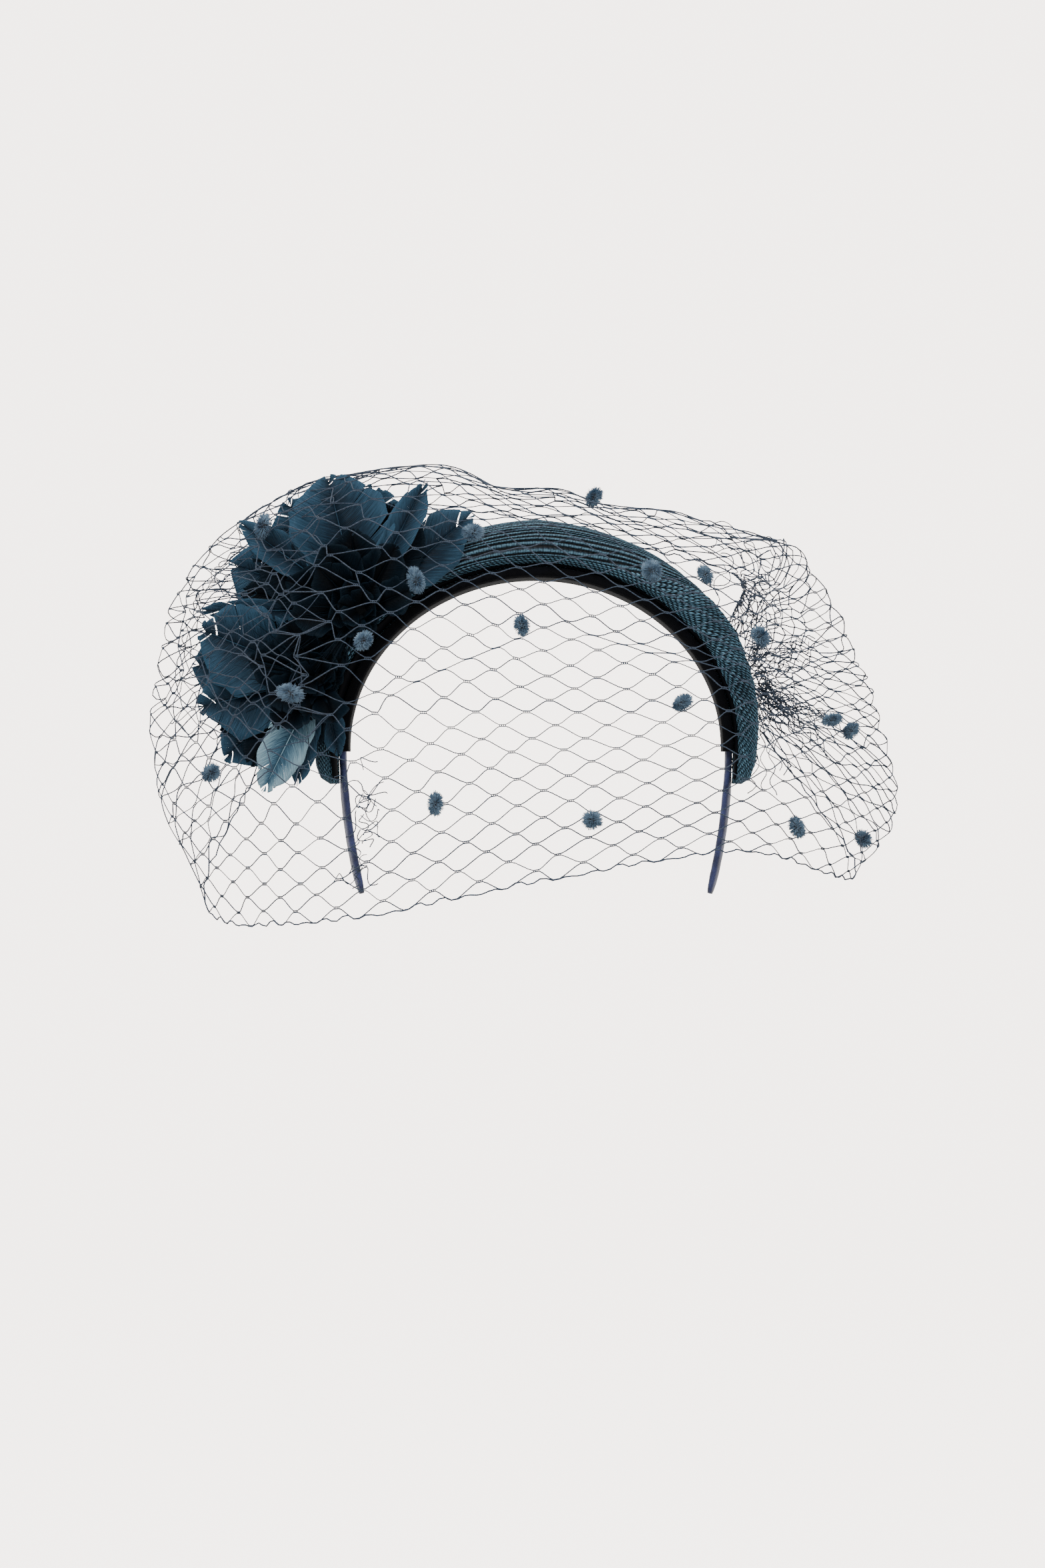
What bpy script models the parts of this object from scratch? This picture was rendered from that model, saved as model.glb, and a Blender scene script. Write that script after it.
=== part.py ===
"""Halo headband with feather flowers and a spotted net veil, for Blender 4.5.

Metres, +Z up. The wearer faces -Y, and +X is on the right of someone who looks at the face.
The origin is the underside of the lining at the crown, where the hat sits on the head.
"""

import math

import bmesh
import bpy
import numpy as np
from mathutils import Matrix, Vector

# The clearance between two pieces that touch on the real hat.
FIT = 0.0003

# The line of the head under the hat: half an ellipse over the crown, and a leg down each side.
HEAD_HALF_WIDTH = 0.080
ARCH_DEPTH = 0.072
LEG_DROP = 0.0625
LEG_INSET = 0.008

# The satin-covered band that grips the head.
BAND_WIDTH = 0.0120
BAND_THICK = 0.0032
BAND_EDGE = 0.0008
BAND_TIP = 0.0080
BAND_TIP_SHARE = 0.35
BAND_STATIONS = 37

# The dark lining: a strip along the head with a pocket for the band.
LINING_WALL = 0.0011
LINING_MARGIN = 0.0025
LINING_CHAMFER = 0.0010
LINING_END_DROP = 0.0020
LINING_STATIONS = 31

# The padded roll, draped in ribbed straw braid.
ROLL_HEIGHT = 0.0206
ROLL_WIDTH = 0.0460
ROLL_END_DROP = 0.0155
ROLL_EQUATOR = 0.38
ROLL_UPPER_ROUND = 2.3
ROLL_LOWER_ROUND = 2.8
ROLL_CORE_SHARE = 0.2
ROLL_STATIONS = 41
RIB_COUNT = 17
RIB_DEPTH = 0.0008

# Share of the half length from the crown, then shares of the roll's height and width there.
ROLL_SHAPE = (
    # along, height, width
    (0.00, 1.00, 1.00),
    (0.28, 0.91, 0.97),
    (0.45, 0.83, 0.92),
    (0.60, 0.80, 0.86),
    (0.72, 0.68, 0.79),
    (0.84, 0.53, 0.71),
    (0.94, 0.46, 0.64),
    (0.98, 0.38, 0.57),
    (1.00, 0.20, 0.40),
)

# How far the drape has turned round the roll from the crown, in whole turns: the pleats run off
# over its outer edge towards both ends.
DRAPE_TURN = (
    # along, turn
    (-1.00, -0.20),
    (-0.60, -0.06),
    (0.00, 0.00),
    (0.25, -0.03),
    (0.55, -0.17),
    (1.00, -0.44),
)

# The flowers: curled feathers round a short stem that is sewn to the front of the roll.
STEM_RADIUS = 0.0042
STEM_LEVEL = 0.0026
STEM_LEVELS = 5
STEM_SIDES = 16
STEM_SAMPLES = 60
FEATHER_THICK = 0.0010
FEATHER_ROOT = 0.14
FEATHER_PEAK = 1.3
FEATHER_ROUND = 0.88
FEATHER_STEPS = 24
FEATHER_ALONG = 5
FEATHER_ACROSS = 3
UPPER_STEM_ALONG = -0.51
LOWER_STEM_ALONG = -0.71
STEM_OUT = 0.0175

# One row for each feather. Angle is round the stem from +X towards +Z, lean is out of the
# flower's plane towards the viewer, both in degrees, and curl is how far the lean changes by the
# tip. Cup is the lift of the edges as a share of the half width. Level counts up from the roll.
FEATHERS = (
    # name, flower, angle, lean, length, width, cup, curl, level
    ("arched", "upper", 40, 8, 0.0580, 0.0200, -0.20, -10, 1),
    ("brush", "upper", 63, 14, 0.0560, 0.0120, 0.20, -16, 2),
    ("crown", "upper", 85, 0, 0.0470, 0.0290, 0.15, 4, 0),
    ("top", "upper", 106, 13, 0.0530, 0.0320, 0.12, -22, 2),
    ("shoulder", "upper", 124, 3, 0.0490, 0.0290, 0.10, -6, 1),
    ("curl", "upper", 146, 12, 0.0580, 0.0130, 0.20, -24, 2),
    ("dark", "upper", 162, -4, 0.0540, 0.0280, 0.10, -2, 0),
    ("sliver", "upper", 180, 8, 0.0640, 0.0110, 0.20, -16, 1),
    ("inner_right", "upper", 20, 40, 0.0260, 0.0170, 0.30, 10, 3),
    ("inner_top", "upper", 135, 40, 0.0280, 0.0190, 0.30, 10, 3),
    ("broad", "lower", 158, 13, 0.0500, 0.0300, 0.12, -20, 2),
    ("ragged", "lower", 172, -2, 0.0500, 0.0260, 0.10, -2, 0),
    ("left", "lower", 194, 8, 0.0480, 0.0240, 0.12, -8, 1),
    ("hip", "lower", 221, 0, 0.0480, 0.0250, 0.10, 2, 0),
    ("pale", "lower", 243, 14, 0.0480, 0.0230, 0.12, -14, 2),
    ("tail", "lower", 258, 7, 0.0420, 0.0120, 0.15, -4, 1),
    ("small", "lower", 284, 6, 0.0300, 0.0110, 0.15, 4, 0),
    ("inner_left", "lower", 205, 42, 0.0270, 0.0180, 0.30, 10, 3),
    ("inner_low", "lower", 290, 42, 0.0240, 0.0160, 0.30, 10, 3),
)

# The veil: a strip of diamond net, gathered at both ends onto the outer edge of the roll.
NET_THICK = 0.0017
NET_INSET_MOST = 0.35
NET_PROBE = 0.1
NET_COLUMNS = 16
NET_ROWS = 14
GATHER_LENGTH = 0.038
LEFT_GATHER_ALONG = -0.52
RIGHT_GATHER_ALONG = 0.70
VEIL_LEFT = 0.164
VEIL_RIGHT = 0.154
VEIL_TOP = 0.041
VEIL_DROP = 0.145
VEIL_REACH = 0.108
VEIL_BACK = 0.032

# Lengthwise lines of the net, from the edge behind the roll to the hem. Left and right are shares
# of VEIL_LEFT and VEIL_RIGHT. Each z column is the height at the left turn, the left front, the
# middle, the right front and the right turn, as a share of VEIL_TOP above the origin and of
# VEIL_DROP below it. Side and front are the depths at the turns and in the middle, as shares of
# VEIL_REACH forwards and of VEIL_BACK backwards.
VEIL_LINES = (
    # left, right, z_left, z_left_front, z_middle, z_right_front, z_right, side, front
    (-0.46, 0.58, 0.44, 0.74, 0.64, 0.30, -0.02, -0.30, -1.00),
    (-0.62, 0.68, 0.84, 1.17, 0.92, 0.62, 0.34, -0.10, 0.12),
    (-0.83, 0.77, 0.36, 0.84, 0.66, 0.30, 0.04, 0.02, 0.46),
    (-0.95, 0.86, -0.08, -0.03, -0.02, -0.10, -0.20, 0.06, 0.72),
    (-1.00, 0.94, -0.38, -0.40, -0.34, -0.32, -0.42, 0.08, 0.90),
    (-0.97, 1.00, -0.66, -0.74, -0.62, -0.57, -0.66, 0.10, 0.98),
    (-0.86, 0.89, -0.95, -1.00, -0.89, -0.80, -0.86, 0.12, 1.00),
)
FRONT_AT = 0.20
FRONT_FULL = 0.84

# The chenille spots, each on a strand of the net: columns and rows of the net from its left end
# and its back edge, in half widths and half heights of a diamond.
SPOT_RADIUS = 0.0040
SPOT_HALF_DEPTH = 0.0026
SPOT_SEGMENTS = 8
SPOT_RINGS = 4
SPOTS = (
    # column, row
    (9.6, 3.6),
    (10.6, 6.6),
    (11.4, 6.6),
    (8.6, 8.6),
    (12.0, 8.0),
    (10.3, 10.3),
    (12.3, 10.3),
    (12.5, 10.5),
    (11.5, 12.5),
    (12.8, 12.8),
    (9.2, 12.8),
    (4.5, 5.5),
    (8.0, 6.0),
    (7.3, 7.3),
    (6.5, 8.5),
    (5.5, 9.5),
    (4.5, 10.5),
    (7.4, 11.4),
)

GUIDE_SAMPLES = 160


def between(table, column, at):
    """The value of a table's column at a place given by its first column, on straight lines."""
    places = [row[0] for row in table]
    return float(np.interp(at, places, [row[column] for row in table]))


def smooth_between(places, values, at):
    """A smooth curve through the values, with a level start and end, at a place."""
    places, values = np.asarray(places, float), np.asarray(values, float)
    slopes = np.gradient(values, places, axis=0)
    index = int(np.clip(np.searchsorted(places, at) - 1, 0, len(places) - 2))
    step = places[index + 1] - places[index]
    t = (at - places[index]) / step
    return (
        (2 * t**3 - 3 * t**2 + 1) * values[index]
        + (t**3 - 2 * t**2 + t) * step * slopes[index]
        + (3 * t**2 - 2 * t**3) * values[index + 1]
        + (t**3 - t**2) * step * slopes[index + 1]
    )


def path_lengths(points):
    """The length along a path of points at each of them."""
    steps = np.linalg.norm(np.diff(np.asarray(points, float), axis=0), axis=1)
    return np.concatenate([[0], np.cumsum(steps)])


def head_line():
    """Points (x, z) of the right half of the head line from the crown to the tip, and their lengths."""
    arch = [
        (HEAD_HALF_WIDTH * math.sin(a), -ARCH_DEPTH * (1 - math.cos(a)))
        for a in np.linspace(0, math.pi / 2, GUIDE_SAMPLES)
    ]
    leg = [
        (HEAD_HALF_WIDTH - LEG_INSET * t**2, -ARCH_DEPTH - LEG_DROP * t)
        for t in np.linspace(0, 1, GUIDE_SAMPLES)[1:]
    ]
    return np.array(arch + leg), path_lengths(arch + leg)


LINE_POINTS, LINE_LENGTHS = head_line()
ARCH_LENGTH = float(LINE_LENGTHS[GUIDE_SAMPLES - 1])
BAND_HALF = float(LINE_LENGTHS[-1])
ROLL_HALF = ARCH_LENGTH + ROLL_END_DROP
LINING_HALF = ARCH_LENGTH + LINING_END_DROP

POCKET_FLOOR = LINING_WALL
BAND_UNDER = LINING_WALL + FIT
LINING_TOP = BAND_UNDER + BAND_THICK
ROLL_UNDER = LINING_TOP + FIT


def on_line(length, out, y):
    """The point at a signed length from the crown along the head line, out from the head and at depth y."""
    reach = min(abs(length), BAND_HALF)
    small = BAND_HALF / GUIDE_SAMPLES
    side = math.copysign(1, length)
    before, here, after = (
        np.array([np.interp(at, LINE_LENGTHS, LINE_POINTS[:, k]) for k in (0, 1)])
        for at in (max(reach - small, 0), reach, min(reach + small, BAND_HALF))
    )
    along = (after - before) / np.linalg.norm(after - before)
    if reach < small:
        along = np.array([1.0, 0.0])
    normal = np.array([-along[1], along[0]])
    x, z = here + out * normal
    return Vector((side * x, y, z))


def roll_size(length):
    """The height and width of the roll at a signed length from the crown."""
    share = min(abs(length) / ROLL_HALF, 1)
    return ROLL_HEIGHT * between(ROLL_SHAPE, 1, share), ROLL_WIDTH * between(
        ROLL_SHAPE, 2, share
    )


def roll_section(length, angle, sink=0.0):
    """Depth and height out of a point on the roll: angle 0 faces the viewer, and sink goes in."""
    height, width = roll_size(length)
    c, s = math.cos(angle), math.sin(angle)
    power = 2 / (ROLL_UPPER_ROUND if s >= 0 else ROLL_LOWER_ROUND)
    y = -width / 2 * math.copysign(abs(c) ** power, c)
    rise = math.copysign(abs(s) ** power, s)
    middle = ROLL_EQUATOR * height
    out = rise * (height - middle if s >= 0 else middle)
    size = math.hypot(y, out)
    scale = max(size - sink, ROLL_CORE_SHARE * size) / size
    return y * scale, ROLL_UNDER + middle + out * scale


def roll_point(length, angle, sink=0.0):
    """The point of the roll's surface at an angle of its section."""
    y, out = roll_section(length, angle, sink)
    return on_line(length, out, y)


def material(name, colour, roughness, metallic=0.0):
    """A plain Principled material."""
    made = bpy.data.materials.new(name)
    made.use_nodes = True
    shader = made.node_tree.nodes["Principled BSDF"]
    shader.inputs["Base Color"].default_value = (*colour, 1)
    shader.inputs["Roughness"].default_value = roughness
    shader.inputs["Metallic"].default_value = metallic
    return made


def add_object(name, mesh, finish, place=None):
    """Links a mesh as an object in the hat's collection, with its own copy of the finish."""
    made = bpy.data.objects.new(name, mesh)
    mesh.materials.clear()
    mesh.materials.append(finish)
    if place is not None:
        made.matrix_world = place
    HAT.objects.link(made)
    return made


def loft(name, rings, finish):
    """A closed solid through rings of points, with flat ends."""
    bm = bmesh.new()
    rows = [[bm.verts.new(point) for point in ring] for ring in rings]
    count = len(rows[0])
    for first, second in zip(rows, rows[1:]):
        for i in range(count):
            j = (i + 1) % count
            bm.faces.new((first[i], first[j], second[j], second[i]))
    bm.faces.new(reversed(rows[0]))
    bm.faces.new(rows[-1])
    bmesh.ops.recalc_face_normals(bm, faces=bm.faces)
    mesh = bpy.data.meshes.new(name)
    bm.to_mesh(mesh)
    bm.free()
    return add_object(name, mesh, finish)


def shaped_grid(name, along, across, place_of):
    """A grid of faces whose points are placed by a function of two shares, from 0 to 1 and -1 to 1."""
    bm = bmesh.new()
    bmesh.ops.create_grid(bm, x_segments=along, y_segments=across, size=0.5)
    for vert in bm.verts:
        vert.co = place_of(vert.co.x + 0.5, 2 * vert.co.y)
    mesh = bpy.data.meshes.new(name)
    bm.to_mesh(mesh)
    bm.free()
    return mesh


def add_wall(made, thick):
    """Thickens an open surface evenly to both sides."""
    solidify = made.modifiers.new("wall", "SOLIDIFY")
    solidify.thickness = thick
    solidify.offset = 0
    solidify.use_even_offset = False


def make_headband(finish):
    """The flexible satin band, from tip to tip, with rounded tips and eased edges."""
    middle = BAND_UNDER + BAND_THICK / 2

    def place(along, across):
        length = (2 * along - 1) * BAND_HALF
        to_tip = BAND_HALF - abs(length)
        rounding = min(to_tip / BAND_TIP, 1)
        swell = math.sqrt(rounding * (2 - rounding))
        half = BAND_WIDTH / 2 * (BAND_TIP_SHARE + (1 - BAND_TIP_SHARE) * swell)
        return on_line(length, middle, across * half)

    mesh = shaped_grid("headband", BAND_STATIONS - 1, 1, place)
    band = add_object("headband", mesh, finish)
    add_wall(band, BAND_THICK)
    edge = band.modifiers.new("eased edges", "BEVEL")
    edge.width = BAND_EDGE
    edge.segments = 1
    edge.limit_method = "ANGLE"
    edge.angle_limit = math.radians(50)


def make_lining(finish):
    """The dark strip along the head, with a pocket that holds the band."""
    rings = []
    pocket = BAND_WIDTH / 2 + FIT
    for length in np.linspace(-LINING_HALF, LINING_HALF, LINING_STATIONS):
        half = roll_size(length)[1] / 2 - LINING_MARGIN
        outline = (
            (-half, LINING_TOP),
            (-half, LINING_CHAMFER),
            (-half + LINING_CHAMFER, 0),
            (half - LINING_CHAMFER, 0),
            (half, LINING_CHAMFER),
            (half, LINING_TOP),
            (pocket, LINING_TOP),
            (pocket, POCKET_FLOOR),
            (-pocket, POCKET_FLOOR),
            (-pocket, LINING_TOP),
        )
        rings.append([on_line(length, out, y) for y, out in outline])
    loft("halo_lining", rings, finish)


def roll_stations():
    """Signed lengths from end to end of the roll, with the table's end rows among them."""
    middle = np.linspace(-1, 1, ROLL_STATIONS - 4)
    ends = [side * row[0] for row in ROLL_SHAPE[-3:-1] for side in (-1, 1)]
    return ROLL_HALF * np.array(sorted({round(float(s), 4) for s in [*middle, *ends]}))


def make_roll(finish):
    """The padded roll, whose ribs run along it and turn round it towards the ends."""
    rings = []
    for length in roll_stations():
        turn = between(DRAPE_TURN, 1, length / ROLL_HALF)
        ring = []
        for k in range(2 * RIB_COUNT):
            angle = 2 * math.pi * (k / (2 * RIB_COUNT) - turn)
            ring.append(roll_point(length, angle, RIB_DEPTH if k % 2 else 0.0))
        rings.append(ring)
    loft("halo_roll", rings, finish)


def stem_place(along):
    """The point on the front of the roll where a flower's stem is sewn."""
    length = along * ROLL_HALF
    surface = [roll_section(length, a) for a in np.linspace(0, math.pi / 2, STEM_SAMPLES)]
    front = min(y for y, out in surface if out > STEM_OUT - STEM_RADIUS)
    return on_line(length, STEM_OUT, front - FIT)


def make_stem(name, foot, finish):
    """The short felt stem of a flower, straight out of the roll towards the viewer."""
    bm = bmesh.new()
    length = STEM_LEVEL * STEM_LEVELS
    bmesh.ops.create_cone(
        bm,
        cap_ends=True,
        segments=STEM_SIDES,
        radius1=STEM_RADIUS,
        radius2=STEM_RADIUS,
        depth=length,
    )
    mesh = bpy.data.meshes.new(name)
    bm.to_mesh(mesh)
    bm.free()
    turn = Matrix.Rotation(math.pi / 2, 4, "X")
    add_object(name, mesh, finish, Matrix.Translation(foot - Vector((0, length / 2, 0))) @ turn)


def feather_width(share):
    """The half width of a feather at a share of its length, as a share of its widest."""
    return FEATHER_ROOT + (1 - FEATHER_ROOT) * math.sin(FEATHER_ROUND * math.pi * share**FEATHER_PEAK)


def make_feather(name, foot, angle, lean, size, width, cup, curl, level, finish):
    """One curled feather: a thin cupped blade that starts at the stem."""
    outward = Vector((math.cos(math.radians(angle)), 0, math.sin(math.radians(angle))))
    sideways = Vector((-outward.z, 0, outward.x))
    forward = Vector((0, -1, 0))
    root_tilt = FEATHER_THICK / 2 * abs(math.sin(math.radians(lean)))
    start = foot + forward * STEM_LEVEL * (level + 0.5) + outward * (STEM_RADIUS + FIT + root_tilt)
    places = np.linspace(0, 1, FEATHER_STEPS + 1)
    slopes = np.radians(lean + curl * (places[1:] + places[:-1]) / 2)
    moves = size / FEATHER_STEPS * np.stack([np.cos(slopes), np.sin(slopes)], axis=1)
    spine = np.concatenate([[(0, 0)], np.cumsum(moves, axis=0)])

    def place(along, across):
        out, front = (float(np.interp(along, places, spine[:, k])) for k in (0, 1))
        half = width / 2 * feather_width(along)
        lift = cup * half * across**2 * min(along * 3, 1)
        return start + outward * out + sideways * half * across + forward * (front + lift)

    mesh = shaped_grid(name, FEATHER_ALONG, FEATHER_ACROSS, place)
    add_wall(add_object(name, mesh, finish), FEATHER_THICK)


def veil_height(share):
    """A height from its share of the veil's top or drop."""
    return share * (VEIL_TOP if share > 0 else VEIL_DROP)


def veil_depth(share):
    """A depth from its share of the veil's reach in front or behind."""
    return -share * VEIL_REACH if share > 0 else -share * VEIL_BACK


def gather_point(along, share):
    """A point of a gathered end, on the outer edge of the roll: share runs from back edge to hem."""
    side = math.copysign(1, along)
    length = along * ROLL_HALF + side * GATHER_LENGTH * (share - 0.5)
    top = roll_size(length)[0]
    return on_line(length, ROLL_UNDER + top + FIT + NET_THICK / 2, 0.0)


def veil_line(index):
    """One lengthwise line of the net as evenly spaced points, from the left gather to the right."""
    left, right, z_left, z_left_front, z_middle, z_right_front, z_right, side, front = VEIL_LINES[index]
    share = index / (len(VEIL_LINES) - 1)
    x_left, x_right = left * VEIL_LEFT, right * VEIL_RIGHT
    inward = FRONT_AT * (x_right - x_left)
    y_side, y_front = veil_depth(side), veil_depth(front)
    y_full = y_side + FRONT_FULL * (y_front - y_side)
    places = (
        gather_point(LEFT_GATHER_ALONG, share),
        (x_left, y_side, veil_height(z_left)),
        (x_left + inward, y_full, veil_height(z_left_front)),
        ((x_left + x_right) / 2, y_front, veil_height(z_middle)),
        (x_right - inward, y_full, veil_height(z_right_front)),
        (x_right, y_side, veil_height(z_right)),
        gather_point(RIGHT_GATHER_ALONG, share),
    )
    spans = path_lengths(places)
    points = [smooth_between(spans, places, at) for at in np.linspace(0, spans[-1], GUIDE_SAMPLES)]
    lengths = path_lengths(points)
    even = np.linspace(0, lengths[-1], GUIDE_SAMPLES)
    return np.stack([np.interp(even, lengths, axis) for axis in np.transpose(points)], axis=1)


def veil_point(lines, column, row):
    """The point of the net at a share of its length and a share of its width."""
    places = np.linspace(0, 1, len(lines))
    even = np.linspace(0, 1, GUIDE_SAMPLES)
    across = [[np.interp(column, even, line[:, k]) for k in range(3)] for line in lines]
    return Vector(smooth_between(places, across, row))


def net_point(lines, column, row, lift=0.0):
    """The point of the net at a column and a row, counted in half diamonds, lifted off its surface."""
    here = veil_point(lines, column / NET_COLUMNS, row / NET_ROWS)
    return here + lift * net_normal(lines, column, row) if lift else here


def net_normal(lines, column, row):
    """The direction out of the net's surface, away from the head."""
    sides = [np.clip((at - NET_PROBE, at + NET_PROBE), 0, top) for at, top in
             ((column, NET_COLUMNS), (row, NET_ROWS))]
    along = net_point(lines, sides[0][1], row) - net_point(lines, sides[0][0], row)
    down = net_point(lines, column, sides[1][1]) - net_point(lines, column, sides[1][0])
    return down.cross(along).normalized()


def net_outline(column, row):
    """The corners and side middles of the opening round a point of the net, as columns and rows."""
    tips = [(column - 1, row), (column, row - 1), (column + 1, row), (column, row + 1)]
    tips = [(min(max(c, 0), NET_COLUMNS), min(max(r, 0), NET_ROWS)) for c, r in tips]
    outline = []
    for (c0, r0), (c1, r1) in zip(tips, tips[1:] + tips[:1]):
        outline += [(c0, r0), ((c0 + c1) / 2, (r0 + r1) / 2)]
    return list(dict.fromkeys(outline))


def opening_radius(centre, corners):
    """The radius of the circle that fits an opening: twice its area over the length round it."""
    pairs = list(zip(corners, corners[1:] + corners[:1]))
    area = sum((first - centre).cross(second - centre).length / 2 for first, second in pairs)
    return 2 * area / sum((second - first).length for first, second in pairs)


def make_net(lines, finish):
    """The coarse diamond net, whose strands have a front and a back ridge and an edge in each opening."""
    bm = bmesh.new()
    ridges = {}

    def ridge(place):
        if place not in ridges:
            ridges[place] = [
                bm.verts.new(net_point(lines, *place, lift=side * NET_THICK / 2)) for side in (1, -1)
            ]
        return ridges[place]

    for column in range(NET_COLUMNS + 1):
        for row in range((column + 1) % 2, NET_ROWS + 1, 2):
            outline = net_outline(column, row)
            centre = np.mean(outline, axis=0)
            corners = [net_point(lines, *place) for place in outline]
            radius = opening_radius(net_point(lines, *centre), corners)
            inset = min(NET_THICK / 2 / radius, NET_INSET_MOST)
            edge = [
                bm.verts.new(net_point(lines, *(np.array(place) * (1 - inset) + centre * inset)))
                for place in outline
            ]
            for i, place in enumerate(outline):
                j = (i + 1) % len(outline)
                front, back = ridge(place)
                next_front, next_back = ridge(outline[j])
                bm.faces.new((front, next_front, edge[j], edge[i]))
                bm.faces.new((next_back, back, edge[i], edge[j]))
                if is_rim(place, outline[j]):
                    bm.faces.new((next_front, front, back, next_back))
    bmesh.ops.recalc_face_normals(bm, faces=bm.faces)
    mesh = bpy.data.meshes.new("veil_net")
    bm.to_mesh(mesh)
    bm.free()
    add_object("veil_net", mesh, finish)


def is_rim(first, second):
    """Whether a stretch of strand lies along the net's rim."""
    return any(
        first[k] == second[k] and first[k] in (0, most)
        for k, most in enumerate((NET_COLUMNS, NET_ROWS))
    )


def make_spot(name, lines, column, row, finish):
    """One chenille spot, a flattened ball that sits on the outside of a strand."""
    lift = NET_THICK / 2 + FIT + SPOT_HALF_DEPTH
    centre = net_point(lines, column, row, lift)
    normal = net_normal(lines, column, row)
    bm = bmesh.new()
    bmesh.ops.create_uvsphere(
        bm, u_segments=SPOT_SEGMENTS, v_segments=SPOT_RINGS, radius=SPOT_RADIUS
    )
    bmesh.ops.scale(bm, vec=(1, 1, SPOT_HALF_DEPTH / SPOT_RADIUS), verts=bm.verts)
    mesh = bpy.data.meshes.new(name)
    bm.to_mesh(mesh)
    bm.free()
    mesh.shade_smooth()
    turn = normal.to_track_quat("Z", "Y").to_matrix().to_4x4()
    add_object(name, mesh, finish, Matrix.Translation(centre) @ turn)


for old in list(bpy.data.objects):
    bpy.data.objects.remove(old)
HAT = bpy.data.collections.new("veiled halo headband")
bpy.context.scene.collection.children.link(HAT)

make_headband(material("indigo satin", (0.07, 0.09, 0.22), 0.45))
make_lining(material("black satin", (0.01, 0.01, 0.02), 0.5))
make_roll(material("teal straw braid", (0.02, 0.07, 0.10), 0.55))

FEET = {"upper": stem_place(UPPER_STEM_ALONG), "lower": stem_place(LOWER_STEM_ALONG)}
for flower, foot in FEET.items():
    make_stem(f"flower_stem_{flower}", foot, material("dark felt", (0.01, 0.02, 0.03), 0.9))
for name, flower, *shape in FEATHERS:
    feather = material("teal feather", (0.04, 0.11, 0.16), 0.6)
    make_feather(f"feather_{flower}_{name}", FEET[flower], *shape, feather)

LINES = [veil_line(index) for index in range(len(VEIL_LINES))]
make_net(LINES, material("net thread", (0.09, 0.12, 0.17), 0.7))
for number, (column, row) in enumerate(SPOTS, 1):
    chenille = material("chenille", (0.16, 0.25, 0.36), 0.95)
    make_spot(f"chenille_spot_{number:02d}", LINES, column, row, chenille)
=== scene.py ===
"""The looks of a straw halo headband with feather flowers and a spotted net veil."""

import logging
import math
from contextlib import contextmanager
from dataclasses import dataclass, field
from enum import Enum
from typing import Callable, Iterator, Sequence

import bpy
import numpy as np
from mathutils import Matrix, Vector

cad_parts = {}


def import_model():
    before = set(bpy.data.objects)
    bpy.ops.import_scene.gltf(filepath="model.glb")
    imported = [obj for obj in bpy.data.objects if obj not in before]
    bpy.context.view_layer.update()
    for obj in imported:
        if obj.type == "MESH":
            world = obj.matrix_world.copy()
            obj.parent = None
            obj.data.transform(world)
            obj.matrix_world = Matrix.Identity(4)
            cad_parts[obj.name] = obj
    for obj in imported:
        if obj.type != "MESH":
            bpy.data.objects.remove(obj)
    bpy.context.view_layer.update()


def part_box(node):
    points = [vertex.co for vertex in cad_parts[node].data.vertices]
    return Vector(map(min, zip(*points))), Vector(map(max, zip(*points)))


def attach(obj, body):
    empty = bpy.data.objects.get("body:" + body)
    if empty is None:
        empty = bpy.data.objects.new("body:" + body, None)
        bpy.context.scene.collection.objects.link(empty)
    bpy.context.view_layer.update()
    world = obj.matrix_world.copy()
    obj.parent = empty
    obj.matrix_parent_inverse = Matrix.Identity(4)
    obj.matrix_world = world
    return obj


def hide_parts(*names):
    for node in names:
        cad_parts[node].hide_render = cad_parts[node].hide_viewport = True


LOG = logging.getLogger("hat")
BODY = "root"
MAP = "surface"
TURN = 2 * math.pi

Array = np.ndarray
Colour = tuple[float, float, float, float]
Piece = bpy.types.Object
Material = bpy.types.Material


def srgb(code: str) -> Colour:
    """Turns a screen colour into a linear one.

    Args:
        code: The colour as six hexadecimal digits.

    Returns:
        Red, green, blue and an alpha of 1.
    """
    parts = [int(code[k : k + 2], 16) / 255 for k in (0, 2, 4)]
    linear = [p / 12.92 if p <= 0.04045 else ((p + 0.055) / 1.055) ** 2.4 for p in parts]
    return (linear[0], linear[1], linear[2], 1.0)


def blend(t: Array, step: Array | float, values: Sequence[Array], slopes: Sequence[Array]) -> Array:
    """Reads a smooth curve between two places.

    Args:
        t: Shares of the way between them.
        step: How far apart they are.
        values: The curve's values at both.
        slopes: Its slopes at both.

    Returns:
        Its values at the shares.
    """
    return (
        (2 * t**3 - 3 * t**2 + 1) * values[0]
        + (t**3 - 2 * t**2 + t) * step * slopes[0]
        + (3 * t**2 - 2 * t**3) * values[1]
        + (t**3 - t**2) * step * slopes[1]
    )


def smooth_between(places: Sequence[float], values: Array, at: Array) -> Array:
    """Reads a smooth curve through values at many places.

    Args:
        places: Where the values stand, rising.
        values: One value or row of values for each place.
        at: The places to read.

    Returns:
        One value or row of values for each place asked.
    """
    places, values = np.asarray(places, float), np.asarray(values, float)
    slopes = np.gradient(values, places, axis=0)
    index = np.clip(np.searchsorted(places, at) - 1, 0, len(places) - 2)
    step = places[index + 1] - places[index]
    t = (np.asarray(at) - places[index]) / step
    if values.ndim > 1:
        step, t = step[:, None], t[:, None]
    return blend(t, step, (values[index], values[index + 1]), (slopes[index], slopes[index + 1]))


def path_lengths(points: Array) -> Array:
    """The length along a path of points at each of them."""
    return np.concatenate([[0], np.cumsum(np.linalg.norm(np.diff(points, axis=0), axis=1))])


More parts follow.
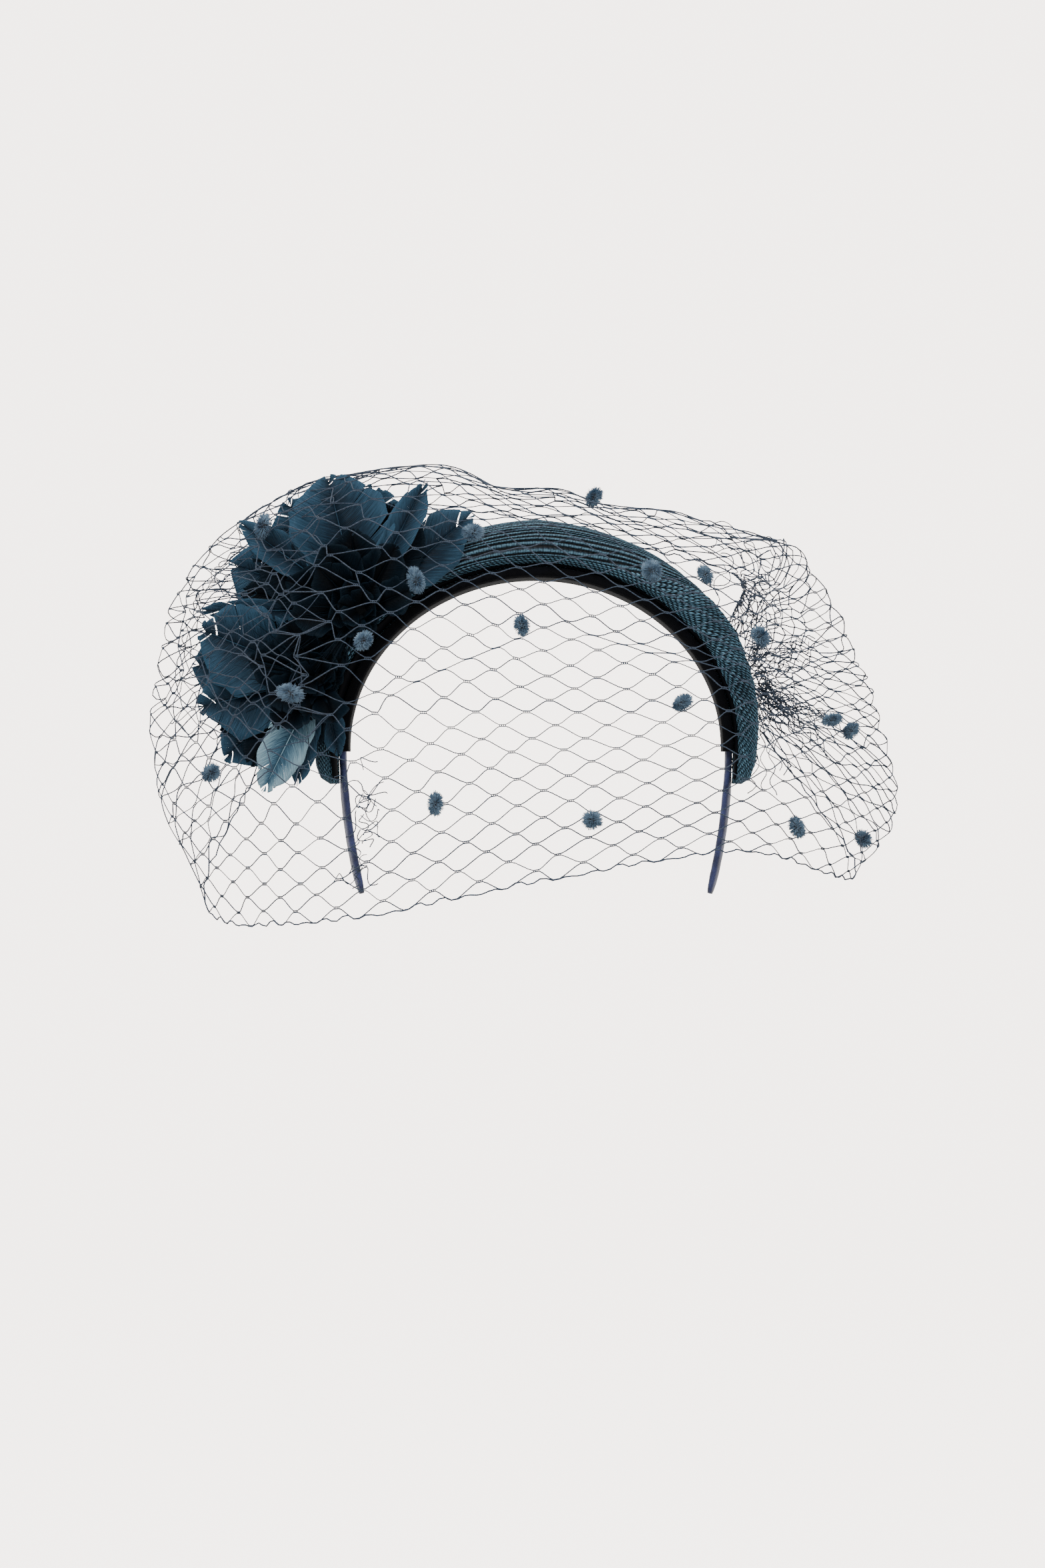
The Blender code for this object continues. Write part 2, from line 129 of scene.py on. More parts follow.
@dataclass(frozen=True)
class Pucker:
    """Small uneven gathers along a length: a sine whose pace wanders."""

    height: float
    rate: float
    wander: float
    wander_rate: float

    def at(self, length: Array) -> Array:
        """The gathers' heights at lengths."""
        return self.height * np.sin(length * self.rate + self.wander * np.sin(length * self.wander_rate))


@dataclass(frozen=True)
class Signal:
    """A shader socket that takes part in sums as a number does."""

    paint: "Paint"
    socket: bpy.types.NodeSocket

    def math(self, operation: str, other: object = 0.0) -> "Signal":
        """The result of a Math node over this signal and another signal or number."""
        made = self.paint.node("ShaderNodeMath", {0: self, 1: other}, operation=operation)
        return Signal(self.paint, made.outputs[0])

    def __add__(self, other: object) -> "Signal":
        """The sum of both."""
        return self.math("ADD", other)

    def __mul__(self, other: object) -> "Signal":
        """The product of both."""
        return self.math("MULTIPLY", other)

    def __pow__(self, other: object) -> "Signal":
        """The signal raised to a power."""
        return self.math("POWER", other)


class Paint:
    """Builds one material's nodes."""

    def __init__(self, name: str) -> None:
        """Starts a material with a Principled shader.

        Args:
            name: The material's name.
        """
        self.material = bpy.data.materials.new(name)
        self.material.use_nodes = True
        self.tree = self.material.node_tree
        self.shader = self.tree.nodes["Principled BSDF"]

    def put(self, socket: bpy.types.NodeSocket, value: object) -> None:
        """Gives an input a signal or a plain value.

        Args:
            socket: The input.
            value: What it is given.
        """
        if isinstance(value, Signal):
            self.tree.links.new(value.socket, socket)
        else:
            socket.default_value = value

    def node(self, kind: str, inputs: dict, **settings: object) -> bpy.types.Node:
        """Adds a node.

        Args:
            kind: The node's type.
            inputs: Values or signals for its inputs, by name or number.
            **settings: Attributes of the node.

        Returns:
            The node.
        """
        made = self.tree.nodes.new(kind)
        for key, value in settings.items():
            setattr(made, key, value)
        for key, value in inputs.items():
            self.put(made.inputs[key], value)
        return made

    def noise(self, scale: float, detail: float, vector: Signal | None = None) -> Signal:
        """Adds noise over a vector, or over the piece's own space.

        Args:
            scale: How fine the noise is.
            detail: How many finer layers it has.
            vector: What it runs over, or None for the piece's own space.

        Returns:
            The noise's factor.
        """
        vector = vector or Signal(self, self.node("ShaderNodeTexCoord", {}).outputs["Object"])
        made = self.node("ShaderNodeTexNoise", {"Vector": vector, "Scale": scale, "Detail": detail})
        return Signal(self, made.outputs["Fac"])

    def surface_map(self) -> tuple[Signal, Signal]:
        """Reads the piece's own map.

        Returns:
            The map along, and across.
        """
        uv = Signal(self, self.node("ShaderNodeUVMap", {}, uv_map=MAP).outputs["UV"])
        split = self.node("ShaderNodeSeparateXYZ", {0: uv})
        return Signal(self, split.outputs[0]), Signal(self, split.outputs[1])

    def ramp(self, factor: Signal, *stops: tuple[float, str]) -> Signal:
        """Adds a colour ramp.

        Args:
            factor: What it reads.
            *stops: Its stops, each a place and a screen colour.

        Returns:
            Its colour.
        """
        made = self.node("ShaderNodeValToRGB", {"Fac": factor})
        while len(made.color_ramp.elements) < len(stops):
            made.color_ramp.elements.new(0.5)
        for element, (place, code) in zip(made.color_ramp.elements, stops):
            element.position = place
            element.color = srgb(code)
        return Signal(self, made.outputs["Color"])

    def finish(
        self, colour: Signal | Colour, height: Signal | None = None, relief: float = 0.0, **values: object
    ) -> Material:
        """Joins colour and relief to the shader and sets its plain values.

        Args:
            colour: The base colour.
            height: What raises the surface, or None.
            relief: How far the height raises it, in metres.
            **values: Values for the shader's other inputs, with _ for a space.

        Returns:
            The material.
        """
        for key, value in {"Base_Color": colour, **values}.items():
            self.put(self.shader.inputs[key.replace("_", " ")], value)
        if height is not None:
            bump = self.node("ShaderNodeBump", {"Height": height, "Distance": relief, "Strength": 1.0})
            self.tree.links.new(bump.outputs["Normal"], self.shader.inputs["Normal"])
        return self.material


@dataclass(frozen=True)
class SatinFinish:
    """A woven satin with a fine twill and a soft sheen."""

    name: str
    dark: str
    light: str
    roughness: float
    sheen: float
    gloss: float
    slub_scale: float = 160.0
    ridge_tone: float = 0.12
    ridge_height: float = 0.3
    relief: float = 0.00012

    def make(self) -> Material:
        """Builds the material from its two tones.

        Returns:
            The material.
        """
        paint = Paint(self.name)
        along, across = paint.surface_map()
        ridge = ((along * 2.0 + across) * TURN).math("SINE")
        slub = paint.noise(self.slub_scale, 4.0)
        colour = paint.ramp(ridge * self.ridge_tone + slub, (0.3, self.dark), (0.75, self.light))
        return paint.finish(
            colour, ridge * self.ridge_height + slub, self.relief, Roughness=self.roughness,
            Sheen_Weight=self.sheen, Sheen_Roughness=0.35, Specular_IOR_Level=self.gloss,
        )


@dataclass(frozen=True)
class StrawFinish:
    """Fine straw braid: ribbed pleats, and knitted ones whose stitches lean both ways like a chain, with
    painted highlights on the knitted stitches' crests and painted shade in the grooves between pleats.

    The pleats from first_knitted to last_knitted are knitted, and all of them past knitted_after stitches.
    """

    lean: float
    shift: float
    first_knitted: float
    last_knitted: float
    knitted_after: float
    dark: str = "020508"
    middle: str = "0e202c"
    light: str = "5b8194"
    straw_scale: float = 1100.0
    patch_scale: float = 38.0
    relief: float = 0.00018

    def make(self) -> Material:
        """Builds the material over stitches along and pleats across.

        Returns:
            The material.
        """
        paint = Paint("teal straw braid")
        along, across = paint.surface_map()
        inside = across.math("FRACT")
        number = across.math("FLOOR")
        off = inside.math("SUBTRACT", 0.5).math("ABSOLUTE")
        shifted = along + number * self.shift
        leg = (shifted + off * self.lean).math("FRACT")
        crest = (leg * math.pi).math("SINE")
        # ridge is 1 along each pleat's middle and 0 at the grooves between pleats; the colour is multiplied
        # by it below, which paints shade into the grooves.
        ridge = (off * math.pi).math("COSINE")
        chain = (off * TURN).math("SINE")
        straws = paint.noise(self.straw_scale, 2.0)
        patches = paint.noise(self.patch_scale, 3.0)
        knit = number.math("GREATER_THAN", self.first_knitted) * number.math("LESS_THAN", self.last_knitted)
        knit = knit.math("MAXIMUM", along.math("GREATER_THAN", self.knitted_after))
        # Bright dashes on the crests of the knitted stitches, in patches: painted highlights.
        painted_stitch_highlight = crest**2.4 * chain**1.2 * (patches * 2.8 + -0.40)
        knitted = ridge * (straws * 0.74) + painted_stitch_highlight
        strands = (shifted * (2 * TURN)).math("SINE")
        # The plain pleats' straw tone, darkened towards the grooves: painted shade.
        ribbed = (straws * 0.75 + strands * 0.07 + 0.26) * ridge**1.3
        light = Signal(paint, paint.node("ShaderNodeMix", {0: knit, 2: ribbed, 3: knitted}).outputs[0])
        colour = paint.ramp(light, (0.08, self.dark), (0.38, self.middle), (0.90, self.light))
        height = crest + straws * 0.5
        return paint.finish(colour, height, self.relief, Roughness=0.55, Specular_IOR_Level=0.22)


@dataclass(frozen=True)
class FeatherFinish:
    """A dyed feather, streaked along its barbs and paler towards its edges."""

    name: str
    dark: str
    middle: str
    light: str
    sheen: float
    gloss: float
    streaks: float = 90.0
    streak_scale: float = 2.2
    cloud_scale: float = 70.0
    relief: float = 0.0001

    def make(self) -> Material:
        """Builds the material over barbs, from quill to edge, and along the feather.

        Returns:
            The material.
        """
        paint = Paint(self.name)
        along, across = paint.surface_map()
        joined = paint.node("ShaderNodeCombineXYZ", {0: along * self.streaks, 1: across})
        vector = Signal(paint, joined.outputs[0])
        streak = paint.noise(self.streak_scale, 3.0, vector)
        cloud = paint.noise(self.cloud_scale, 2.0)
        edge = across.math("ABSOLUTE") * 0.35
        tone = streak * 0.56 + cloud * 0.30 + edge
        colour = paint.ramp(tone, (0.3, self.dark), (0.52, self.middle), (0.8, self.light))
        return paint.finish(
            colour, streak, self.relief, Roughness=0.5, Sheen_Weight=self.sheen, Sheen_Roughness=0.3,
            Specular_IOR_Level=self.gloss,
        )


@dataclass(frozen=True)
class PlainFinish:
    """A matt thread, felt or pile with a fine mottle."""

    name: str
    dark: str
    light: str
    grain: float
    roughness: float
    sheen: float = 0.1
    relief: float = 0.0001

    def make(self) -> Material:
        """Builds the material from its two tones.

        Returns:
            The material.
        """
        paint = Paint(self.name)
        mottle = paint.noise(self.grain, 4.0)
        colour = paint.ramp(mottle, (0.32, self.dark), (0.7, self.light))
        return paint.finish(
            colour, mottle, self.relief, Roughness=self.roughness, Sheen_Weight=self.sheen,
            Sheen_Roughness=0.5, Specular_IOR_Level=0.12,
        )


class Slot(Enum):
    """The record's material slots."""

    BAND = "indigo_satin"
    LINING = "black_satin"
    STRAW = "teal_straw"
    FELT = "dark_felt"
    FEATHER = "teal_feather"
    NET = "net_thread"
    CHENILLE = "chenille"


def activate(piece: Piece) -> None:
    """Selects one piece alone and makes it the active one.

    Args:
        piece: The piece.
    """
    bpy.ops.object.select_all(action="DESELECT")
    piece.select_set(True)
    bpy.context.view_layer.objects.active = piece


@contextmanager
def edited(piece: Piece) -> Iterator[None]:
    """Opens a piece in edit mode with all of it selected, and closes it again.

    Args:
        piece: The piece.

    Yields:
        Nothing, while the piece is open.
    """
    activate(piece)
    bpy.ops.object.mode_set(mode="EDIT")
    bpy.ops.mesh.select_all(action="SELECT")
    yield
    bpy.ops.object.mode_set(mode="OBJECT")


def link(piece: Piece) -> Piece:
    """Puts a new object in the scene."""
    bpy.context.scene.collection.objects.link(piece)
    return piece


def sheet(
    name: str,
    points: tuple[int, int],
    place: Callable[[Array, Array], Array],
    tiles: tuple[float, float],
    closed: bool = True,
    reach: float = 0.00001,
) -> Piece:
    """Makes a smooth piece from a grid, with a map of its own.

    Args:
        name: The piece's name.
        points: How many points the grid has along and across.
        place: Gives the points for shares along, from 0 to 1, and across, from 0 to 1.
        tiles: How far the map runs along and across.
        closed: Whether the long edges meet in a tube, whose ends are filled.
        reach: How near two points are merged.

    Returns:
        The piece.
    """
    bpy.ops.object.select_all(action="DESELECT")
    bpy.ops.mesh.primitive_grid_add(x_subdivisions=points[0] - 1, y_subdivisions=points[1] - 1, size=1)
    made = bpy.context.object
    mesh = made.data
    made.name = mesh.name = name
    flat = np.empty(len(mesh.vertices) * 3)
    mesh.vertices.foreach_get("co", flat)
    shares = flat.reshape(-1, 3)[:, :2] + 0.5
    layer = mesh.uv_layers[0]
    layer.name = MAP
    corners = np.empty(len(mesh.loops), dtype=np.int64)
    mesh.loops.foreach_get("vertex_index", corners)
    layer.data.foreach_set("uv", (shares[corners] * np.array(tiles)).ravel())
    placed = place(shares[:, 0], shares[:, 1])
    mesh.vertices.foreach_set("co", np.ascontiguousarray(placed, dtype=np.float64).ravel())
    mesh.update()
    if closed:
        with edited(made):
            bpy.ops.mesh.remove_doubles(threshold=reach)
            bpy.ops.mesh.select_all(action="DESELECT")
            bpy.ops.mesh.select_non_manifold()
            bpy.ops.mesh.edge_face_add()
            bpy.ops.mesh.select_all(action="SELECT")
            bpy.ops.mesh.normals_make_consistent(inside=False)
    bpy.ops.object.shade_smooth()
    return made


def thicken(piece: Piece, thick: float) -> None:
    """Gives an open surface a wall, centred on it, and smooths it.

    Args:
        piece: The surface.
        thick: The wall's thickness.
    """
    activate(piece)
    bpy.ops.object.modifier_add(type="SOLIDIFY")
    wall = piece.modifiers[-1]
    wall.thickness = thick
    wall.offset = 0
    bpy.ops.object.modifier_apply(modifier=wall.name)
    bpy.ops.object.shade_smooth()


def join_pieces(first: Piece, second: Piece, name: str) -> Piece:
    """Joins the second piece into the first, under a new name.

    Args:
        first: The piece that stays.
        second: The piece that goes into it.
        name: The new name.

    Returns:
        The joined piece.
    """
    activate(first)
    second.select_set(True)
    bpy.ops.object.join()
    first.name = name
    return first


def dress(piece: Piece, finish: Material, slot: Slot, *nodes: str) -> Piece:
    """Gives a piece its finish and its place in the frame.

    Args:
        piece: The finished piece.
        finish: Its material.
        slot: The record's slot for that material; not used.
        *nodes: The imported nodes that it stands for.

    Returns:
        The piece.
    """
    piece.data.materials.clear()
    piece.data.materials.append(finish)
    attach(piece, BODY)
    if nodes:
        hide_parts(*nodes)
    faces = sum(len(p.vertices) - 2 for p in piece.data.polygons)
    LOG.info("%s: %d triangles", piece.name, faces)
    return piece


def tubes(
    name: str, paths: Sequence[Array], radius: float, sides: int, taper: Sequence[float] = (1.0,)
) -> Piece:
    """Draws many threads as one mesh.

    Args:
        name: The piece's name.
        paths: The points of each thread.
        radius: The thread's radius.
        sides: How many sides a thread has, an even number.
        taper: Shares of the radius, evenly along each thread.

    Returns:
        The threads as one mesh piece with capped ends.
    """
    curve = bpy.data.curves.new(name, "CURVE")
    curve.dimensions = "3D"
    curve.bevel_depth = radius
    curve.bevel_resolution = sides // 2 - 2
    curve.use_fill_caps = True
    for path in paths:
        spline = curve.splines.new("POLY")
        spline.points.add(len(path) - 1)
        spline.points.foreach_set("co", np.c_[path, np.ones(len(path))].ravel())
        shares = np.interp(np.linspace(0, 1, len(path)), np.linspace(0, 1, len(taper)), taper)
        spline.points.foreach_set("radius", shares)
    activate(link(bpy.data.objects.new(name, curve)))
    bpy.ops.object.convert(target="MESH")
    made = bpy.context.object
    with edited(made):
        bpy.ops.mesh.remove_doubles(threshold=0.000001)
    bpy.ops.object.shade_smooth()
    return made


@dataclass
class HeadLine:
    """The line of the head under the hat: half an ellipse over the crown and a leg down each side."""

    half_width: float = 0.080
    arch_depth: float = 0.072
    leg_drop: float = 0.0625
    leg_inset: float = 0.008
    samples: int = 400
    points: Array = field(init=False)
    lengths: Array = field(init=False)

    def __post_init__(self) -> None:
        """Works out the right half of the line, from the crown to the tip."""
        turn = np.linspace(0, math.pi / 2, self.samples)
        arch = np.c_[self.half_width * np.sin(turn), -self.arch_depth * (1 - np.cos(turn))]
        t = np.linspace(0, 1, self.samples)[1:]
        leg = np.c_[self.half_width - self.leg_inset * t**2, -self.arch_depth - self.leg_drop * t]
        self.points = np.concatenate([arch, leg])
        self.lengths = path_lengths(self.points)

    @property
    def arch_length(self) -> float:
        """The length from the crown to the end of the arch."""
        return float(self.lengths[self.samples - 1])

    @property
    def half_length(self) -> float:
        """The length from the crown to the tip."""
        return float(self.lengths[-1])

    def place(self, length: Array, out: Array | float, depth: Array) -> Array:
        """Points off the line.

        Args:
            length: Signed lengths from the crown, positive to the right.
            out: How far out from the head.
            depth: Where along Y.

        Returns:
            One point in a row for each length.
        """
        length, out, depth = np.broadcast_arrays(length, out, depth)
        reach = np.abs(length)
        small = self.half_length / self.samples
        before, here, after = (
            np.stack([np.interp(at, self.lengths, self.points[:, k]) for k in (0, 1)])
            for at in (np.clip(reach + step, 0, self.half_length) for step in (-small, 0.0, small))
        )
        along = after - before
        along[:, reach < small] = np.array([[1.0], [0.0]])
        along /= np.linalg.norm(along, axis=0)
        x = here[0] - along[1] * out
        z = here[1] + along[0] * out
        return np.stack([np.sign(length + 1e-12) * x, depth, z], axis=-1)


@dataclass
class Headband:
    """The satin-wrapped band that grips the head."""

    line: HeadLine
    width: float = 0.0120
    thick: float = 0.0032
    under: float = 0.0014
    tip: float = 0.0080
    tip_width: float = 0.35
    tip_thick: float = 0.55
    side_round: float = 0.5
    face_round: float = 0.6
    lean: float = 0.15
    lean_from: float = 0.006
    lean_run: float = 0.014
    seam_width: float = 0.12
    seam_rise: float = 0.0004
    crease: Pucker = Pucker(0.00012, 900, 3, 140)
    weave: float = 0.0007
    points: tuple[int, int] = (241, 29)

    def build(self, finish: Material) -> Piece:
        """Makes a rounded strip with a folded seam along its inside, whose legs turn to the front.

        Args:
            finish: The satin.

        Returns:
            The band.
        """
        half = self.line.half_length

        def place(along: Array, across: Array) -> Array:
            """The points at shares along and across."""
            length = (2 * along - 1) * half * 0.9995
            left = np.clip((half - np.abs(length)) / self.tip, 0, 1)
            broad = self.width / 2 * (self.tip_width + (1 - self.tip_width) * np.sqrt(left * (2 - left)))
            c, s = np.cos(TURN * across), np.sin(TURN * across)
            depth = broad * np.sign(c) * np.abs(c) ** self.side_round
            rise = self.thick / 2 * np.sign(s) * np.abs(s) ** self.face_round
            rise = rise * (self.tip_thick + (1 - self.tip_thick) * np.sqrt(left))
            seam = np.where((s < 0) & (np.abs(c) < self.seam_width), self.seam_rise, 0.0)
            out = rise * 0.97 + self.crease.at(length) * np.abs(c) * 0.5 + seam
            below = np.abs(length) - self.line.arch_length - self.lean_from
            lean = self.lean * np.clip(below / self.lean_run, 0, 1)
            turned_out = self.under + self.thick / 2 + out * np.cos(lean) + depth * np.sin(lean)
            return self.line.place(length, turned_out, depth * np.cos(lean) - out * np.sin(lean))

        band = sheet("satin_headband", self.points, place, (half * 2 / self.weave, 34.0))
        return dress(band, finish, Slot.BAND, "headband")


@dataclass
class RollShape:
    """The form of the padded roll: its height and width along the head line, and how its drape turns."""

    line: HeadLine
    height: float = 0.0206
    width: float = 0.0460
    end_drop: float = 0.0155
    under: float = 0.0049
    equator: float = 0.38
    upper_round: float = 2.3
    lower_round: float = 2.8
    shape: tuple[tuple[float, float, float], ...] = (
        # along, height, width
        (0.00, 1.00, 1.00),
        (0.28, 0.91, 0.97),
        (0.45, 0.83, 0.92),
        (0.60, 0.80, 0.86),
        (0.72, 0.68, 0.79),
        (0.84, 0.53, 0.71),
        (0.94, 0.46, 0.64),
        (0.98, 0.38, 0.57),
        (1.00, 0.20, 0.40),
    )
    turn: tuple[tuple[float, float], ...] = (
        # along, whole turns
        (-1.00, -0.20),
        (-0.60, -0.06),
        (0.00, 0.00),
        (0.22, -0.02),
        (0.38, -0.10),
        (0.55, -0.36),
        (0.75, -0.76),
        (1.00, -1.20),
    )

    @property
    def half(self) -> float:
        """Half the length of the roll."""
        return self.line.arch_length + self.end_drop

    def size(self, length: Array) -> tuple[Array, Array]:
        """The roll's size along it.

        Args:
            length: Signed lengths from the crown.

        Returns:
            The heights, and the widths.
        """
        share = np.clip(np.abs(length) / self.half, 0, 1)
        along, height, width = np.array(self.shape).T
        return self.height * np.interp(share, along, height), self.width * np.interp(share, along, width)

    def section(self, length: Array, angle: Array, rise: Array) -> Array:
        """Points on or off the roll's surface.

        Args:
            length: Signed lengths from the crown.
            angle: Angles round the section: 0 faces the viewer, a quarter turn is the outer edge.
            rise: How far out of the surface.

        Returns:
            One point in a row for each length.
        """
        height, width = self.size(length)
        c, s = np.cos(angle), np.sin(angle)
        power = 2 / np.where(s >= 0, self.upper_round, self.lower_round)
        depth = -width / 2 * np.sign(c) * np.abs(c) ** power
        middle = self.equator * height
        out = np.sign(s) * np.abs(s) ** power * np.where(s >= 0, height - middle, middle)
        size = np.hypot(depth, out)
        scale = np.maximum(size + rise, 0.2 * size) / size
        return self.line.place(length, self.under + middle + out * scale, depth * scale)


@dataclass
class HaloLining:
    """The dark satin lining under the halo, turned up at its edges."""

    line: HeadLine
    roll: RollShape
    top: float = 0.0046
    margin: float = 0.0025
    snug: float = 0.985
    end_drop: float = 0.0020
    pocket: float = 0.0063
    floor: float = 0.0011
    weave: float = 0.0009
    lip: float = 0.1
    lip_pucker: Pucker = Pucker(0.00022, 1500, 2, 210)
    points: tuple[int, int] = (201, 61)
    outline: tuple[tuple[float, float], ...] = (
        # depth as a share of the half width, height as a share of the top
        (-1.00, 1.00), (-1.02, 0.80), (-1.03, 0.50), (-1.00, 0.22), (-0.94, 0.06), (-0.80, 0.00),
        (0.80, 0.00), (0.94, 0.06), (1.00, 0.22), (1.03, 0.50), (1.02, 0.80), (1.00, 1.00),
    )
    wrap_low: float = -55.0
    wrap_thick: float = 0.0006
    wrap_rise: float = 0.0009
    wrap_under: float = 0.0004
    wrap_pucker: Pucker = Pucker(0.00015, 1300, 3, 170)
    wrap_points: tuple[int, int] = (402, 15)
    wrap_edge: tuple[tuple[float, float], ...] = (
        # along, angle of its upper edge
        (-1.00, -6.0),
        (-0.75, -12.0),
        (-0.45, -26.0),
        (-0.20, -46.0),
        (0.00, -50.0),
        (0.30, -50.0),
        (0.60, -40.0),
        (1.00, -32.0),
    )

    def wrap(self, finish: Material) -> Piece:
        """Makes a thin black satin strip over the lower front of the roll, next to the lining.

        Args:
            finish: The satin.

        Returns:
            The turned-up edge.
        """
        half = self.roll.half
        places, angles = np.array(self.wrap_edge).T
        low = math.radians(self.wrap_low)

        def place(along: Array, across: Array) -> Array:
            """The points at shares along and across."""
            length = (2 * along - 1) * half * self.snug
            top = np.radians(smooth_between(places, angles, length / half))
            sway = 0.03 * np.sin(length * 260) + 0.02 * np.sin(length * 610 + 1)
            rise = self.wrap_under + self.wrap_rise * np.sin(math.pi * across) ** 0.5
            rise += self.wrap_pucker.at(length) * across
            return self.roll.section(length, low + (top + sway - low) * across, rise)

        wrap = sheet("lining_edge", self.wrap_points, place, (half * 2 / self.weave, 10.0), closed=False)
        thicken(wrap, self.wrap_thick)
        return dress(wrap, finish, Slot.LINING)

    def build(self, finish: Material) -> Piece:
        """Makes the lining as a channel with soft edges and small gathers along its lips.

        Args:
            finish: The satin.

        Returns:
            The lining.
        """
        reach = self.line.arch_length + self.end_drop
        floor = self.floor / self.top
        inner = ((1, 1.0), (1, floor), (-1, floor), (-1, 1.0))
        outs = np.array([out for _, out in (*self.outline, *inner, self.outline[0])]) * self.top

        def place(along: Array, across: Array) -> Array:
            """The points at shares along and across."""
            length = (2 * along - 1) * reach
            half = self.roll.size(length)[1] / 2 - self.margin
            sides = [side * half * self.snug for side, _ in self.outline]
            sides += [np.full_like(half, side * self.pocket) for side, _ in inner]
            depths = np.array(sides + sides[:1])
            at = across * (len(depths) - 1)
            low = np.clip(at.astype(int), 0, len(depths) - 2)
            part = at - low
            rows = np.arange(len(along))
            depth = depths[low, rows] * (1 - part) + depths[low + 1, rows] * part
            out = outs[low] * (1 - part) + outs[low + 1] * part
            lip = np.clip((np.abs(depth) - half * (1 - self.lip)) / (half * self.lip), 0, 1)
            return self.line.place(length, out, depth + np.sign(depth) * self.lip_pucker.at(length) * lip)

        lining = sheet("satin_lining", self.points, place, (reach * 2 / self.weave, 70.0))
        bpy.ops.object.shade_smooth_by_angle(angle=math.radians(50))
        return dress(lining, finish, Slot.LINING, "halo_lining")


@dataclass
class StrawRoll:
    """The padded halo, covered in straw braid that lies in narrow pleats."""

    roll: RollShape
    pleats: int = 44
    pleat_points: int = 6
    stations: int = 561
    depth: float = 0.0013
    stitch: float = 0.0019
    relief: float = 0.00022
    lean: float = 1.3
    shift: float = 0.37
    first_knitted: int = 23
    last_knitted: int = 41
    knitted_after: float = 0.6
    plain_relief: float = 0.2
    end: float = 0.05
    billow: float = 0.00035
    sways: tuple[tuple[float, float, float, float], ...] = (
        # how far in radians, waves round the roll, waves along it, where the first starts
        (0.05, 3, 2.1, 0.4),
        (0.035, 7, -5.0, 0.0),
        (0.02, 13, 9.0, 1.0),
    )

    def finish(self) -> Material:
        """The straw, with its knitted pleats where the roll has them.

        Returns:
            The material.
        """
        first, last = self.first_knitted - 0.5, self.last_knitted + 0.5
        after = (1 + self.knitted_after) * self.roll.half / self.stitch
        return StrawFinish(self.lean, self.shift, first, last, after).make()

    def build(self, finish: Material) -> Piece:
        """Makes the pleated roll, whose pleats run along it and wind round it towards its ends.

        Args:
            finish: The straw.

        Returns:
            The roll.
        """
        half = self.roll.half
        places, turns = np.array(self.roll.turn).T

        def place(along: Array, across: Array) -> Array:
            """The points at shares along and across."""
            length = (2 * along - 1) * half
            share = length / half
            theta = TURN * across
            sway = sum(far * np.sin(waves * theta + on * share + at) for far, waves, on, at in self.sways)
            angle = theta - TURN * smooth_between(places, turns, np.clip(share, -1, 1)) + sway
            off = np.abs(np.mod(across * self.pleats, 1.0) - 0.5)
            ridge = np.cos(math.pi * off) ** 0.8
            number = np.floor(across * self.pleats) % self.pleats
            swell = 0.85 + 0.3 * np.sin(number * 2.4 + 3.0 * share) * np.sin(number * 1.1 + 7.0 * share)
            leg = np.mod(length / self.stitch + self.lean * off + self.shift * number, 1.0)
            knitted = (number >= self.first_knitted) & (number <= self.last_knitted)
            knitted = knitted | (share > self.knitted_after)
            knit = self.relief * np.sin(math.pi * leg) * ridge * np.where(knitted, 1.0, self.plain_relief)
            to_end = np.clip((1 - np.abs(share)) / self.end, 0, 1)
            rise = (ridge * swell - 1.0) * self.depth * (0.4 + 0.6 * to_end) + knit - 0.0001
            rise += self.billow * np.sin(5.0 * share + 2 * theta) * to_end
            return self.roll.section(length, angle, rise)

        points = (self.stations, self.pleats * self.pleat_points + 1)
        roll = sheet("straw_halo", points, place, (2 * half / self.stitch, float(self.pleats)))
        dress(roll, finish, Slot.STRAW, "halo_roll")
        return roll


@dataclass
class Petal:
    """One feather of a flower.

    It holds degrees round and out of the flower, metres, shares, its level on the stem, and the share of
    the stem's radius that it starts from.
    """

    name: str
    angle: float
    lean: float
    length: float
    width: float
    cup: float
    curl: float
    level: float
    start: float = 1.0


